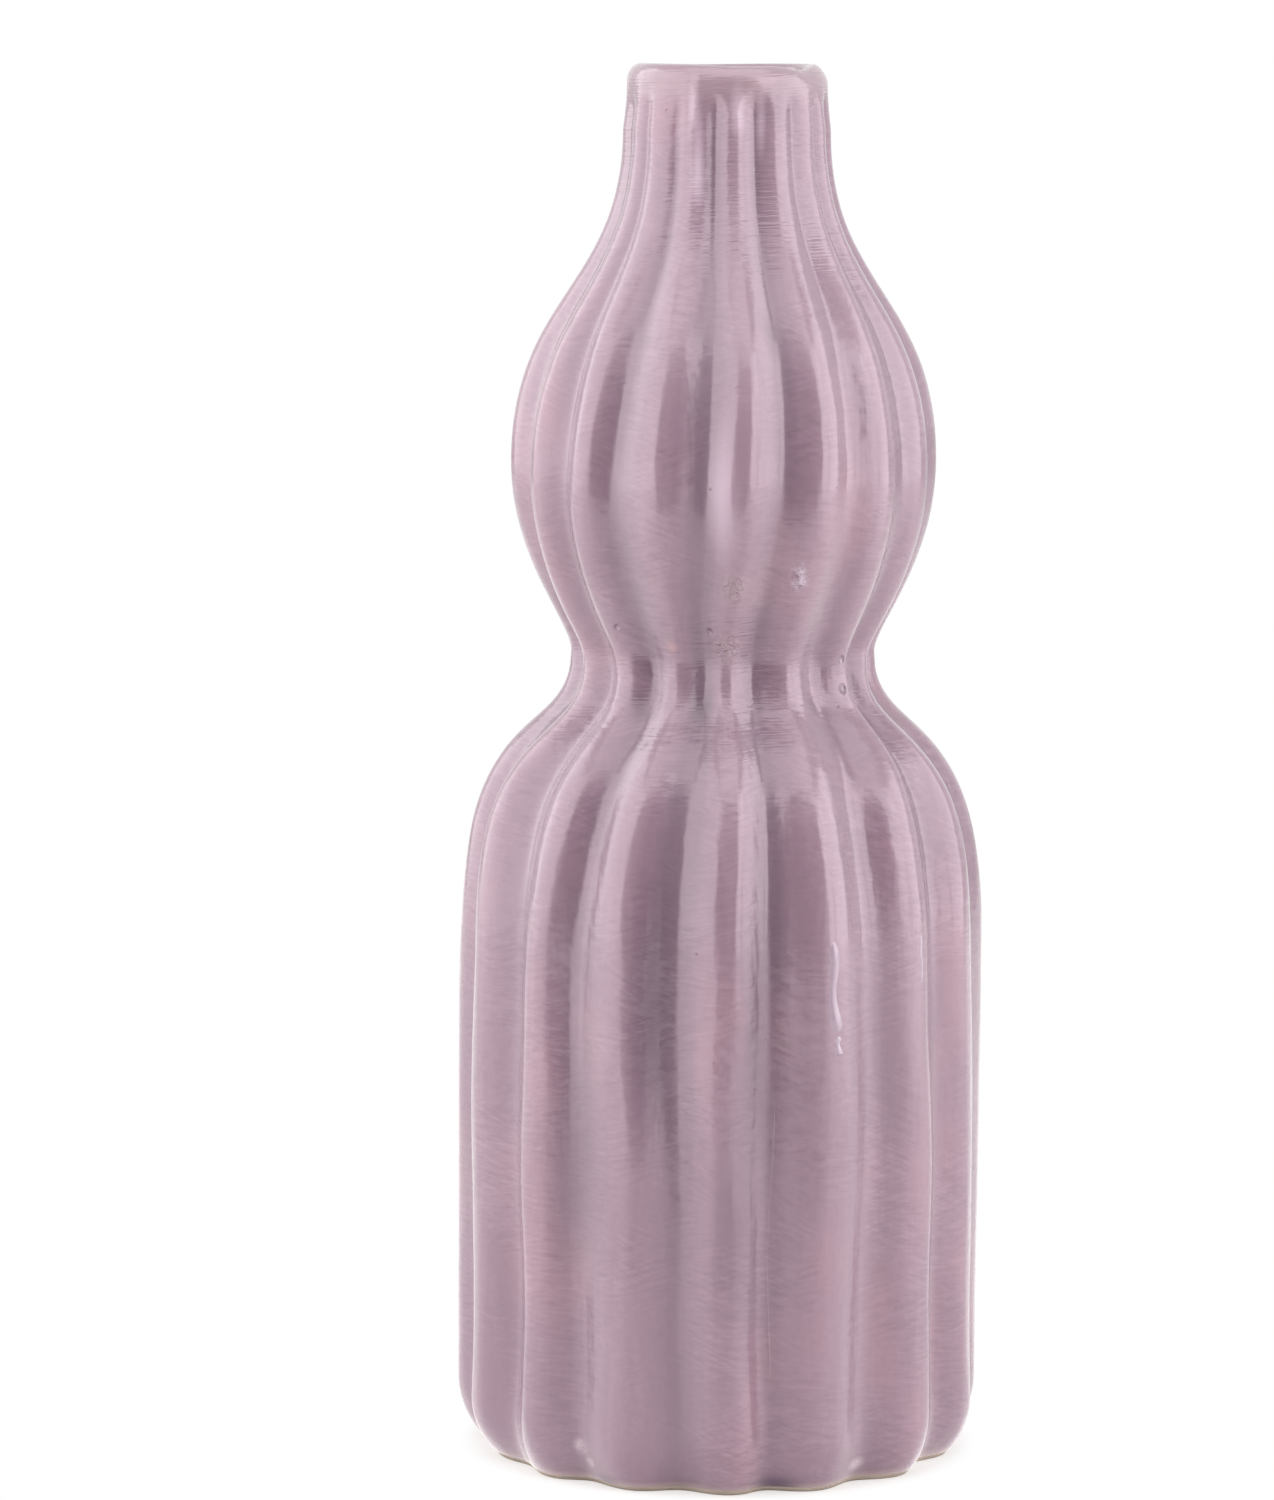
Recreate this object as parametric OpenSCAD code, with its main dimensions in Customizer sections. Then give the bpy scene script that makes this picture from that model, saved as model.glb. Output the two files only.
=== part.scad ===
// Fluted earthenware vase: a tall round-shouldered body, a waist and a bulb under a short neck.
// It stands on the XY plane with its axis on Z, and is seen from -Y with +X to the right.

/* [Outline] */
// Height from the table to the top of the lip
height = 300; // [280:1:330]
// Height where the rounding at the foot meets the wall
base_z = 14.5; // [12:0.5:25]
// Height where the straight wall turns into the shoulder
shoulder_z = 112; // [100:1:125]
// Height of the waist
waist_z = 175; // [165:0.5:182]
// Height of the widest place on the bulb
bulb_z = 215; // [205:1:225]
// Height where the bulb runs out into the neck
neck_z = 286; // [275:0.5:289]
// Radius over the crests where the vase stands
foot_r = 51.1; // [46:0.1:54]
// Radius over the crests of the body
body_r = 56.9; // [52:0.1:64]
// Radius over the crests of the waist
waist_r = 32.7; // [30:0.1:38]
// Radius over the crests of the bulb
bulb_r = 45.8; // [42:0.1:54]
// Radius over the crests of the neck
neck_r = 22.3; // [21.5:0.1:26]
// Radius of the lip
lip_r = 21.5; // [20.5:0.1:25]

/* [Flutes] */
// Number of flutes
flute_count = 16; // [12:1:20]
// Depth of a groove on the body, which shrinks with the radius elsewhere
flute_depth = 5; // [3:0.1:6]
// Angle in degrees of the first crest, counted from -Y towards +X
first_crest = 2; // [0:0.5:10]
// Plain band below the lip
lip_band = 4; // [3.5:0.25:8]
// Height over which the flutes fade out below the plain band
fade_h = 7; // [3:0.5:12]

/* [Clay] */
// Thickness of the wall behind a groove
wall = 4.5; // [3.5:0.1:5.5]
// Thickness of the floor
floor_t = 7; // [5:0.25:10]
// Radius of the corner between wall and floor, inside
floor_round = 9; // [5:0.5:14]
// Width of the ring that the vase stands on, behind a groove
foot_ring_w = 8; // [5:0.5:12]
// Depth of the hollow under the foot
foot_hollow_h = 1.2; // [0.6:0.1:2]

/* [Glaze] */
// Thickness of the glaze
glaze_t = 0.4; // [0.25:0.05:0.6]
// Height of the bare clay line round the foot
bare_line_h = 0.9; // [0.6:0.1:3]

/* [Mouth] */
// Radius of the glazed mouth
mouth_r = 16.4; // [14:0.1:17]
// Length of the straight bore below the rounded lip
mouth_bore_h = 25; // [18:0.5:30]

/* [Hidden] */

overrun = 1;
facets_per_flute = 6;
lip_steps = 4;
corner_steps = 8;
$fn = 96;

flute_top_z = height - lip_band;
lip_wall = lip_r - mouth_r;
// Both lip roundings together are a little less than the wall of the lip
lip_outer_round_share = 0.58;
lip_inner_round_share = 0.38;
lip_outer_round = min(lip_outer_round_share * lip_wall, lip_band);
lip_inner_round = lip_inner_round_share * lip_wall;
bore_top_z = height - lip_inner_round;
bore_bottom_z = bore_top_z - mouth_bore_h;
clay_bore_r = mouth_r + glaze_t;
foot_hollow_r = foot_r - flute_depth - foot_ring_w;

// The outline over the crests. Each row holds a height, a radius, and the shares of the stretches below
// and above it over which the line stays close to that radius.
OUTLINE = [
    [0, foot_r, 0, 0],
    [base_z, body_r, 0.67, 0.33],
    [shoulder_z, body_r, 0.33, 0.82],
    [waist_z, waist_r, 0.32, 0.14],
    [bulb_z, bulb_r, 0.52, 0.51],
    [neck_z, neck_r, 0.48, 0.05],
    [flute_top_z, lip_r, 0.5, 0]
];
// Rings of points on each stretch of the outline
RINGS_PER_STRETCH = [4, 3, 7, 6, 7, 3];

// How far each crest strays from even spacing, as a share of the spacing, at each height of CREST_LEVELS.
// The first crest faces -Y and the others follow towards +X.
CREST_LEVELS = [0, shoulder_z, waist_z, bulb_z, neck_z];
crest_shift_shares = [
    [0.05, 0, 0.15, 0.3, 0.2, 0.1, 0, -0.1, 0.05, 0.1, 0, -0.1, -0.15, -0.2, -0.05, 0],
    [-0.05, 0, 0.1, -0.05, 0.05, 0.1, -0.05, -0.1, 0, 0.1, 0.05, -0.05, 0, -0.05, -0.05, -0.1],
    [0, 0.1, 0.2, -0.05, 0, 0.05, 0.1, 0, -0.1, 0, 0.1, 0.05, 0, 0.1, 0.05, 0.15],
    [0.1, 0.15, 0, -0.05, 0.05, 0.1, 0, -0.1, -0.05, 0.05, 0.1, 0, 0.05, 0.15, -0.05, 0],
    [0.1, 0.35, 0.25, -0.1, -0.05, 0.05, 0.1, 0.05, -0.1, 0, 0.1, 0.15, 0.2, 0.3, 0.05, 0.15]
];
// Depth of each groove, as a share of the usual one
groove_depth_shares = [1, 0.95, 1.05, 0.9, 1, 1.1, 0.95, 1, 1.05, 0.9, 1, 1.05, 0.95, 1, 1.05, 0.95];
// Depth across one flute from crest to crest, as a share of the groove's depth
groove_shape_shares = [0, 0.3, 0.73, 1, 0.73, 0.3];

// Smooth step from 0 to 1
function eased(t) = t * t * (3 - 2 * t);
function clamped(t) = max(0, min(1, t));
function between(a, b, t) = a + (b - a) * t;

// Height and radius on the stretch above row i of the outline, at t from 0 to 1
function stretch_length(i) = OUTLINE[i + 1][0] - OUTLINE[i][0];
function stretch_z(i, t) =
    OUTLINE[i][0] + stretch_length(i) * (
        3 * t * (1 - t) * (1 - t) * OUTLINE[i][3]
        + 3 * t * t * (1 - t) * (1 - OUTLINE[i + 1][2])
        + t * t * t
    );
function stretch_r(i, t) = between(OUTLINE[i][1], OUTLINE[i + 1][1], eased(t));

// How much longer a horizontal cut through a coat is than the coat is thick, where the outline slants
small_t = 0.01;
function slant(i, t) =
    let (
        low = max(0, t - small_t),
        high = min(1, t + small_t),
        dz = stretch_z(i, high) - stretch_z(i, low),
        dr = stretch_r(i, high) - stretch_r(i, low)
    )
    norm([dz, dr]) / dz;

// One ring holds its height, its radius over the crests and its slant
function ring_at(i, t) = [stretch_z(i, t), stretch_r(i, t), slant(i, t)];
// Where on stretch i a given height lies, found by halving
halvings = 20;
function t_at(i, z, low = 0, high = 1, rounds = halvings) =
    let (middle = (low + high) / 2)
    rounds == 0 ? middle
        : stretch_z(i, middle) < z ? t_at(i, z, middle, high, rounds - 1)
        : t_at(i, z, low, middle, rounds - 1);

last_stretch = len(OUTLINE) - 2;
bare_line_t = t_at(0, bare_line_h);
// The glazed wall starts at the bare line and ends at the plain band
GLAZED_RINGS = [
    for (k = [0:RINGS_PER_STRETCH[0] - 1]) ring_at(0, between(bare_line_t, 1, k / RINGS_PER_STRETCH[0])),
    for (i = [1:last_stretch], k = [0:RINGS_PER_STRETCH[i] - 1]) ring_at(i, k / RINGS_PER_STRETCH[i]),
    [flute_top_z, lip_r, 1]
];

// A quarter turn over the lip, from the outside to the top, at a distance inside the glazed surface
function outer_lip(inset) = [
    for (k = [0:lip_steps])
        let (a = 90 * k / lip_steps)
        [
            lip_r - lip_outer_round + (lip_outer_round - inset) * cos(a),
            height - lip_outer_round + (lip_outer_round - inset) * sin(a)
        ]
];
// A quarter turn from the top of the lip down into the bore
function inner_lip(inset) = [
    for (k = [0:lip_steps])
        let (a = 90 * k / lip_steps)
        [
            mouth_r + lip_inner_round - (lip_inner_round - inset) * sin(a),
            height - lip_inner_round + (lip_inner_round - inset) * cos(a)
        ]
];

function flute_depth_at(z, r) =
    flute_depth * r / body_r * eased(clamped((flute_top_z - z) / fade_h));

// Crest angles at a height, eased from one level to the next
function level_below(z, i = len(CREST_LEVELS) - 2) =
    i == 0 || z >= CREST_LEVELS[i] ? i : level_below(z, i - 1);
function shift_share(flute, z) =
    let (
        i = level_below(z),
        t = eased(clamped((z - CREST_LEVELS[i]) / (CREST_LEVELS[i + 1] - CREST_LEVELS[i]))),
        n = len(crest_shift_shares[i])
    )
    between(crest_shift_shares[i][flute % n], crest_shift_shares[i + 1][flute % n], t);
function crest_angle(flute, z) =
    first_crest - 90
    + (flute + shift_share(flute % flute_count, z)) * 360 / flute_count;

// The points of one fluted ring, with radius r over its crests
function fluted_ring(z, r, depth) = [
    for (flute = [0:flute_count - 1], k = [0:facets_per_flute - 1])
        let (
            a = between(crest_angle(flute, z), crest_angle(flute + 1, z), k / facets_per_flute),
            groove = depth * groove_depth_shares[flute % len(groove_depth_shares)] * groove_shape_shares[k]
        )
        [(r - groove) * cos(a), (r - groove) * sin(a), z]
];
function clay_ring(ring) =
    fluted_ring(ring[0], ring[1] - glaze_t * ring[2], flute_depth_at(ring[0], ring[1]));
function glaze_ring(ring) =
    fluted_ring(ring[0], ring[1], flute_depth_at(ring[0], ring[1]));

// Triangles between neighbouring loops of n points, where loop b follows loop a. A skin that is followed
// down is split the other way, so that it has the same edges as one that is followed up.
function band(a, b, n, down = false) = [
    for (j = [0:n - 1])
        let (next = (j + 1) % n)
        each down
            ? [[a * n + j, b * n + j, a * n + next], [b * n + j, b * n + next, a * n + next]]
            : [[a * n + j, b * n + j, b * n + next], [a * n + j, b * n + next, a * n + next]]
];
ring_points = flute_count * facets_per_flute;

// Radius of the clay inside at one ring of the wall, which is never less than the bore
function cavity_r(ring) =
    max(clay_bore_r, ring[1] - flute_depth_at(ring[0], ring[1]) * max(groove_depth_shares) - wall * ring[2]);
floor_corner_z = floor_t + floor_round;
CAVITY_RINGS = [
    for (ring = GLAZED_RINGS) if (ring[0] > floor_corner_z && ring[0] < bore_bottom_z) ring
];
// The inside of the clay or of the glaze on it, from the middle of the floor to the foot of the bore
function cavity_line(inset) =
    let (corner_r = cavity_r(CAVITY_RINGS[0]) - floor_round)
    [
        [0, floor_t + inset],
        for (k = [0:corner_steps])
            let (a = 90 * k / corner_steps)
            [
                corner_r + (floor_round - inset) * sin(a),
                floor_corner_z - (floor_round - inset) * cos(a)
            ],
        for (ring = CAVITY_RINGS) [max(mouth_r, cavity_r(ring) - inset * ring[2]), ring[0]],
        [clay_bore_r - inset, bore_bottom_z]
    ];
function reversed(line) = [for (i = [len(line) - 1:-1:0]) line[i]];

module fluted_clay() {
    lip = outer_lip(glaze_t);
    rings = [
        fluted_ring(0, foot_r - glaze_t * slant(0, 0), flute_depth_at(0, foot_r)),
        for (ring = GLAZED_RINGS) clay_ring(ring),
        for (point = lip) fluted_ring(point[1], point[0], 0)
    ];
    last = len(rings) - 1;
    polyhedron(
        points = [for (ring = rings) each ring],
        faces = [
            [for (j = [0:ring_points - 1]) j],
            for (i = [0:last - 1]) each band(i, i + 1, ring_points),
            [for (j = [ring_points - 1:-1:0]) last * ring_points + j]
        ]
    );
}

module clay_cavity() {
    rotate_extrude()
        polygon([
            each cavity_line(0),
            each reversed(inner_lip(glaze_t)),
            [mouth_r + lip_inner_round, height + overrun],
            [0, height + overrun]
        ]);
}

module foot_hollow() {
    translate([0, 0, -overrun])
        cylinder(r = foot_hollow_r, h = foot_hollow_h + overrun);
}

module earthenware_body() {
    color("tan")
        difference() {
            fluted_clay();
            clay_cavity();
            foot_hollow();
        }
}

// A closed skin on the clay: up its outside, over the edge at the top and down against the clay
module outer_glaze() {
    rings = [
        for (ring = GLAZED_RINGS) glaze_ring(ring),
        for (ring = reversed(GLAZED_RINGS)) clay_ring(ring)
    ];
    count = len(rings);
    color("thistle")
        polyhedron(
            points = [for (ring = rings) each ring],
            faces = [
                for (i = [0:count - 1])
                    each band(i, (i + 1) % count, ring_points, i >= len(GLAZED_RINGS))
            ]
        );
}

module inner_glaze() {
    color("plum")
        rotate_extrude()
            polygon([
                each cavity_line(0),
                each reversed(inner_lip(glaze_t)),
                each reversed(outer_lip(glaze_t)),
                [lip_r - glaze_t, flute_top_z],
                [lip_r, flute_top_z],
                each outer_lip(0),
                each inner_lip(0),
                each reversed(cavity_line(glaze_t))
            ]);
}

earthenware_body();
outer_glaze();
inner_glaze();
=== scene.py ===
"""A fluted earthenware vase in lilac glaze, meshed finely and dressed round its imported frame.

The vase is three things: the fired clay, the glaze brushed over its outside, and the glaze poured through
its inside. Each is a closed mesh that follows one hand-finished form. A small white studio lights it.
"""

import logging
import math
from dataclasses import dataclass
from enum import Enum

import bpy
import numpy as np
from mathutils import Matrix, Vector, noise


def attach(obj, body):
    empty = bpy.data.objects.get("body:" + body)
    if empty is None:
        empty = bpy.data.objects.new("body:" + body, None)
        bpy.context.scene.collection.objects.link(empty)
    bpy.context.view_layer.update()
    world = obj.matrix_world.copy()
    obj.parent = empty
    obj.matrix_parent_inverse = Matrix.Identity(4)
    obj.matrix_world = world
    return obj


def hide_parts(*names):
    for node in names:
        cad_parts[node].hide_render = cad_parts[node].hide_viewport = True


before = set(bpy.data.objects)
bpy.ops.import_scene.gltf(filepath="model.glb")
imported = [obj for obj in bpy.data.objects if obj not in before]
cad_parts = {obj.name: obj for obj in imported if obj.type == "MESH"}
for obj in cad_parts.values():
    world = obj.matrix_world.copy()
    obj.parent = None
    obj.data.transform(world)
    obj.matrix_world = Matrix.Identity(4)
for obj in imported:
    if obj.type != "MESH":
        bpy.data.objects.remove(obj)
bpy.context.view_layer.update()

logging.basicConfig(level=logging.INFO, format="%(name)s: %(message)s")
log = logging.getLogger("vase")

MM = 0.001
TURN = 2 * math.pi
HALF_TURN_DEG = 180

# The sRGB curve
BYTE_MAX, SRGB_KNEE, SRGB_SLOPE, SRGB_OFFSET, SRGB_POWER = 255, 0.04045, 12.92, 0.055, 2.4

# Socket numbers of Blender's Mix node: the factor, what it mixes as numbers, and what as colours
MIX_FACTOR, MIX_LOW, MIX_HIGH, MIX_A, MIX_B, MIX_RESULT = 0, 2, 3, 6, 7, 2

# Values that the glaze's mesh carries for its colour
GROOVE_LAYER = "groove"
LUMP_LAYER = "lump"

# How many finer patterns lie on a noise pattern, and the value that it lies round
LITTLE_DETAIL, SOME_DETAIL, FINE_DETAIL, FINEST_DETAIL = 1.0, 2.0, 3.0, 4.0
NOISE_MIDDLE = 0.5

Tree = bpy.types.NodeTree
Socket = bpy.types.NodeSocket
Colour = tuple[float, float, float, float]
WHITE: Colour = (1.0, 1.0, 1.0, 1.0)

# Shares that several rows of the fluting's tables have in common, for the grooves in their middle
SHARED_VALLEYS = (0.5, 0.5, 0.52, 0.48, 0.5, 0.53, 0.48, 0.5, 0.47, 0.5, 0.52, 0.5, 0.52)
SHARED_DEPTHS = (1, 1.1, 0.95, 1, 1.05, 0.9, 1, 1.05)


class Body(Enum):
    """The one rigid body that every piece rides on."""

    ROOT = "root"


class CadNode(Enum):
    """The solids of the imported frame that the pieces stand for."""

    CLAY = "earthenware_body"
    OUTSIDE = "outer_glaze"
    INSIDE = "inner_glaze"


class Slot(Enum):
    """The record's material slots."""

    CLAY = "bare_clay"
    OUTSIDE = "lilac_glaze"
    INSIDE = "liner_glaze"


def linear(hex_colour: str) -> Colour:
    """Turn an sRGB hex colour into Blender's linear one.

    Args:
        hex_colour: Six hex digits after a hash sign.

    Returns:
        Red, green and blue in linear light, and full alpha.
    """
    parts = [byte / BYTE_MAX for byte in bytes.fromhex(hex_colour[1:])]
    red, green, blue = (
        c / SRGB_SLOPE if c <= SRGB_KNEE else ((c + SRGB_OFFSET) / (1 + SRGB_OFFSET)) ** SRGB_POWER
        for c in parts
    )
    return (red, green, blue, 1.0)


def add_node(tree: Tree, kind: str, inputs: dict[str | int, object] | None = None,
             **settings: object) -> bpy.types.Node:
    """Add a node with its settings, its input values and its links.

    Args:
        tree: Node tree that takes the node.
        kind: Blender's name for the type of node.
        inputs: A value, or an output socket to link, for each input by name or number.
        settings: Properties of the node itself.

    Returns:
        The new node.
    """
    node = tree.nodes.new(kind)
    for name, value in settings.items():
        setattr(node, name, value)
    for key, value in (inputs or {}).items():
        if isinstance(value, Socket):
            tree.links.new(value, node.inputs[key])
        else:
            node.inputs[key].default_value = value
    return node


def ramp(tree: Tree, value: Socket, low: float, high: float, start: float = 0.0, end: float = 1.0,
         smooth: bool = True) -> Socket:
    """Turn a value that goes from low to high into one that goes from start to end.

    Args:
        tree: Node tree that takes the node.
        value: The value.
        low: Where it starts.
        high: Where it ends.
        start: What it becomes at low and before.
        end: What it becomes at high and past it.
        smooth: Whether it eases in and out.

    Returns:
        The new value.
    """
    return add_node(tree, "ShaderNodeMapRange", {
        "Value": value, "From Min": low, "From Max": high, "To Min": start, "To Max": end,
    }, interpolation_type="SMOOTHSTEP" if smooth else "LINEAR").outputs[0]


def reckon(tree: Tree, operation: str, *terms: Socket | float) -> Socket:
    """Reckon with values by one of Blender's math operations and return the result."""
    return add_node(tree, "ShaderNodeMath", dict(enumerate(terms)), operation=operation).outputs[0]


def reckon_vectors(tree: Tree, operation: str, *terms: object) -> Socket:
    """Reckon with vectors in the same way and return the new vector, or the length as a number."""
    node = add_node(tree, "ShaderNodeVectorMath", dict(enumerate(terms)), operation=operation)
    return node.outputs["Value" if operation == "LENGTH" else "Vector"]


def blend(tree: Tree, share: Socket | float, first: Socket | Colour, second: Socket | Colour,
          blend_type: str = "MIX") -> Socket:
    """Mix two colours by the second one's share and return the new colour."""
    return add_node(tree, "ShaderNodeMix", {MIX_FACTOR: share, MIX_A: first, MIX_B: second},
                    data_type="RGBA", blend_type=blend_type).outputs[MIX_RESULT]


def glow(tree: Tree, colour: Colour, strength: Socket | float) -> Socket:
    """Make a surface give off light of its own and return the shader."""
    return add_node(tree, "ShaderNodeEmission", {"Color": colour, "Strength": strength}).outputs[0]


def fresh_material(name: str) -> bpy.types.Material:
    """Start a material.

    Args:
        name: Its name.

    Returns:
        The material, with nothing in its node tree.
    """
    made = bpy.data.materials.new(name)
    made.use_nodes = True
    made.node_tree.nodes.clear()
    return made


def front_angles(points: np.ndarray) -> np.ndarray:
    """Return how many degrees each point lies to the right of the front."""
    return np.degrees(np.arctan2(points[..., 0], -points[..., 1]))


def bell(angles: np.ndarray, middle: float, reach: float) -> np.ndarray:
    """Return the exponent of a bell round a middle angle, in degrees either way."""
    off = (angles - middle + HALF_TURN_DEG) % (2 * HALF_TURN_DEG) - HALF_TURN_DEG
    return (off / reach) ** 2


def turned(radii: np.ndarray, angles: np.ndarray, heights: np.ndarray) -> np.ndarray:
    """Return the points at radii and angles round the axis and at heights, whose shapes fit together."""
    x, y = radii * np.cos(angles), radii * np.sin(angles)
    return np.stack([x, y, np.broadcast_to(heights, x.shape)], axis=-1)


def eased(t: np.ndarray) -> np.ndarray:
    """Return the smooth step from 0 to 1, level at both ends."""
    t = np.clip(t, 0.0, 1.0)
    return t * t * (3 - 2 * t)


@dataclass(frozen=True)
class OutlineRow:
    """One height of the outline, and how long the line keeps near its radius below and above it."""

    height: float
    radius: float
    held_below_share: float
    held_above_share: float


@dataclass(frozen=True)
class Outline:
    """The vase's outline over the crests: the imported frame's, with a waist 1 mm lower.

    The slant is measured over twice its step, and even heights are found on a line that is finer than
    they are by the fineness.
    """

    height: float = 300 * MM
    base_z: float = 14.5 * MM
    shoulder_z: float = 112 * MM
    waist_z: float = 174 * MM
    bulb_z: float = 215 * MM
    neck_z: float = 286 * MM
    lip_band: float = 4 * MM
    foot_r: float = 51.1 * MM
    body_r: float = 56.9 * MM
    waist_r: float = 32.7 * MM
    bulb_r: float = 45.8 * MM
    neck_r: float = 22.3 * MM
    lip_r: float = 21.5 * MM
    steps: int = 120
    slant_step: float = 0.5 * MM
    fineness: int = 8

    @property
    def flute_top_z(self) -> float:
        """Return the height where the flutes have faded out."""
        return self.height - self.lip_band

    def rows(self) -> tuple[OutlineRow, ...]:
        """Return the outline's rows from the foot to the plain band."""
        return (
            OutlineRow(0.0, self.foot_r, 0, 0),
            OutlineRow(self.base_z, self.body_r, 0.67, 0.33),
            OutlineRow(self.shoulder_z, self.body_r, 0.33, 0.85),
            OutlineRow(self.waist_z, self.waist_r, 0.32, 0.14),
            OutlineRow(self.bulb_z, self.bulb_r, 0.52, 0.51),
            OutlineRow(self.neck_z, self.neck_r, 0.48, 0.05),
            OutlineRow(self.flute_top_z, self.lip_r, 0.5, 0),
        )

    def line(self) -> tuple[np.ndarray, np.ndarray]:
        """Trace the outline finely.

        Returns:
            Heights that only rise, and the radius at each.
        """
        heights, radii = [], []
        rows = self.rows()
        t = np.linspace(0, 1, self.steps, endpoint=False)
        for low, high in zip(rows, rows[1:]):
            rise = 3 * t * (1 - t) ** 2 * low.held_above_share
            rise += 3 * t**2 * (1 - t) * (1 - high.held_below_share) + t**3
            heights.append(low.height + (high.height - low.height) * rise)
            radii.append(low.radius + (high.radius - low.radius) * eased(t))
        heights.append(np.array([self.flute_top_z, self.height]))
        radii.append(np.array([self.lip_r, self.lip_r]))
        return np.concatenate(heights), np.concatenate(radii)

    def radius_at(self, heights: np.ndarray) -> np.ndarray:
        """Return the radius over the crests at each height."""
        return np.interp(heights, *self.line())

    def slant_at(self, heights: np.ndarray) -> np.ndarray:
        """Return how much longer a level cut through a coat is than the coat is thick."""
        rise = self.radius_at(heights + self.slant_step) - self.radius_at(heights - self.slant_step)
        return np.hypot(1.0, rise / (2 * self.slant_step))

    def even_heights(self, low: float, high: float, count: int) -> np.ndarray:
        """Space heights evenly along the outline.

        Args:
            low: First height.
            high: Last height.
            count: How many heights.

        Returns:
            The heights, from low to high.
        """
        fine = np.linspace(low, high, count * self.fineness)
        way = np.concatenate([[0], np.cumsum(np.hypot(np.diff(fine), np.diff(self.radius_at(fine))))])
        return np.interp(np.linspace(0, way[-1], count), way, fine)


@dataclass(frozen=True)
class Fluting:
    """Sixteen grooves between rounded crests, cut and wiped by hand, so none is quite straight.

    Each shift row gives how far the sixteen crests stray from even spacing at one height, as a share of
    the spacing. The first crest faces the front and the others follow to the right.
    """

    outline: Outline
    count: int = 16
    depth: float = 5 * MM
    first_crest: float = math.radians(2)
    fade_h: float = 6 * MM
    levels: tuple[float, ...] = (0, 30, 75, 112, 145, 165, 182, 200, 235, 265, 286)
    shift_shares: tuple[tuple[float, ...], ...] = (
        (0.05, 0, 0.15, 0.3, 0.2, 0.1, 0, -0.1, 0.05, 0.1, 0, -0.1, -0.15, -0.2, -0.05, 0),
        (0, -0.05, 0.15, 0.1, 0.15, 0.1, -0.05, -0.1, 0, 0.1, 0.05, -0.1, -0.1, 0, -0.05, 0),
        (-0.05, 0.05, 0.15, 0.1, 0.1, 0.15, -0.05, -0.15, 0, 0.05, 0.05, -0.1, -0.05, -0.1, -0.1, 0),
        (-0.02, 0, 0.05, -0.05, 0.05, 0.1, -0.05, -0.1, 0, 0.1, 0.05, -0.05, 0, -0.05, -0.05, -0.1),
        (0.02, -0.05, 0.05, 0, 0, 0.05, 0, -0.05, 0, 0.05, 0.1, 0, 0.05, -0.05, 0.08, 0),
        (0, 0.03, 0.25, -0.1, -0.05, 0, 0.1, 0, -0.1, 0, 0.1, 0.05, 0, 0.15, 0.17, 0.15),
        (0, 0.05, 0.2, 0.1, 0, 0.1, 0.1, 0, -0.1, -0.05, 0.1, 0.1, -0.05, -0.02, -0.02, 0.12),
        (0.1, 0.12, 0.1, 0.05, 0.1, 0.1, 0, -0.05, -0.05, 0, 0.1, 0.05, 0, 0.1, -0.02, 0.06),
        (0.18, 0.15, 0.06, -0.05, 0, 0.1, 0.05, -0.1, -0.05, 0.05, 0.1, 0, 0.1, 0.25, 0.1, 0.15),
        (0.12, 0.2, 0.25, 0.05, -0.05, 0.05, 0.1, 0, -0.1, 0, 0.05, 0.1, 0.15, 0.3, 0.03, 0.12),
        (0.08, 0.22, 0.25, -0.05, -0.05, 0.05, 0.1, 0.05, -0.1, 0, 0.1, 0.15, 0.15, 0.25, -0.02, 0.07),
    )
    # How deep each groove is at the foot, above it, on the body, at the waist, on the bulb and the neck
    depth_levels: tuple[float, ...] = (0, 14, 60, 112, 150, 175, 205, 245, 270, 300)
    depth_shares: tuple[tuple[float, ...], ...] = (
        (0.8, 0.8, 0.85, 0.8, 0.8, 0.8, 0.8, 0.8, 0.8, 0.8, 0.8, 0.8, 0.7, 0.6, 0.7, 0.75),
        (0.95, 0.9, 1, 0.7, *SHARED_DEPTHS, 0.85, 0.9, 0.85, 0.85),
        (1, 0.85, 0.9, 0.55, *SHARED_DEPTHS, 0.7, 0.95, 0.75, 0.85),
        (1, 0.8, 0.9, 0.6, *SHARED_DEPTHS, 0.75, 1, 0.75, 0.9),
        (0.9, 0.9, 1, 0.8, *SHARED_DEPTHS, 0.9, 1, 0.75, 0.72),
        (1, 0.85, 1, 0.9, *SHARED_DEPTHS, 0.95, 1, 0.8, 0.65),
        (0.85, 0.6, 0.6, 0.7, 1, 1.05, 0.95, 1, 1, 0.9, 1, 1, 0.9, 0.8, 0.75, 0.8),
        (0.9, 0.6, 0.6, 0.7, 1, 1, 0.95, 1, 1, 0.9, 1, 1, 0.85, 0.7, 0.7, 0.85),
        (0.9, 0.6, 0.7, 0.7, 0.9, 0.9, 0.8, 0.9, 0.9, 0.8, 0.9, 0.9, 0.6, 0.45, 0.5, 0.8),
        (0.9, 0.6, 0.7, 0.7, 0.9, 0.9, 0.8, 0.9, 0.9, 0.8, 0.9, 0.9, 0.55, 0.4, 0.5, 0.85),
    )
    # Where the bottom of each groove lies between its two crests, on the body, waist, bulb and neck
    valley_levels: tuple[float, ...] = (110, 170, 215, 265)
    valley_shares: tuple[tuple[float, ...], ...] = (
        (0.44, *SHARED_VALLEYS, 0.44, 0.5),
        (0.44, *SHARED_VALLEYS, 0.55, 0.5),
        (0.52, *SHARED_VALLEYS, 0.44, 0.54),
        (0.48, *SHARED_VALLEYS, 0.6, 0.52),
    )
    # How much thicker than usual the glaze pooled in each groove
    pool_shares: tuple[float, ...] = (
        1, 0.65, 0.8, 1, 0.9, 1, 1.1, 0.95, 1, 1.05, 0.9, 1, 0.8, 0.65, 1, 1.4,
    )
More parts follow.
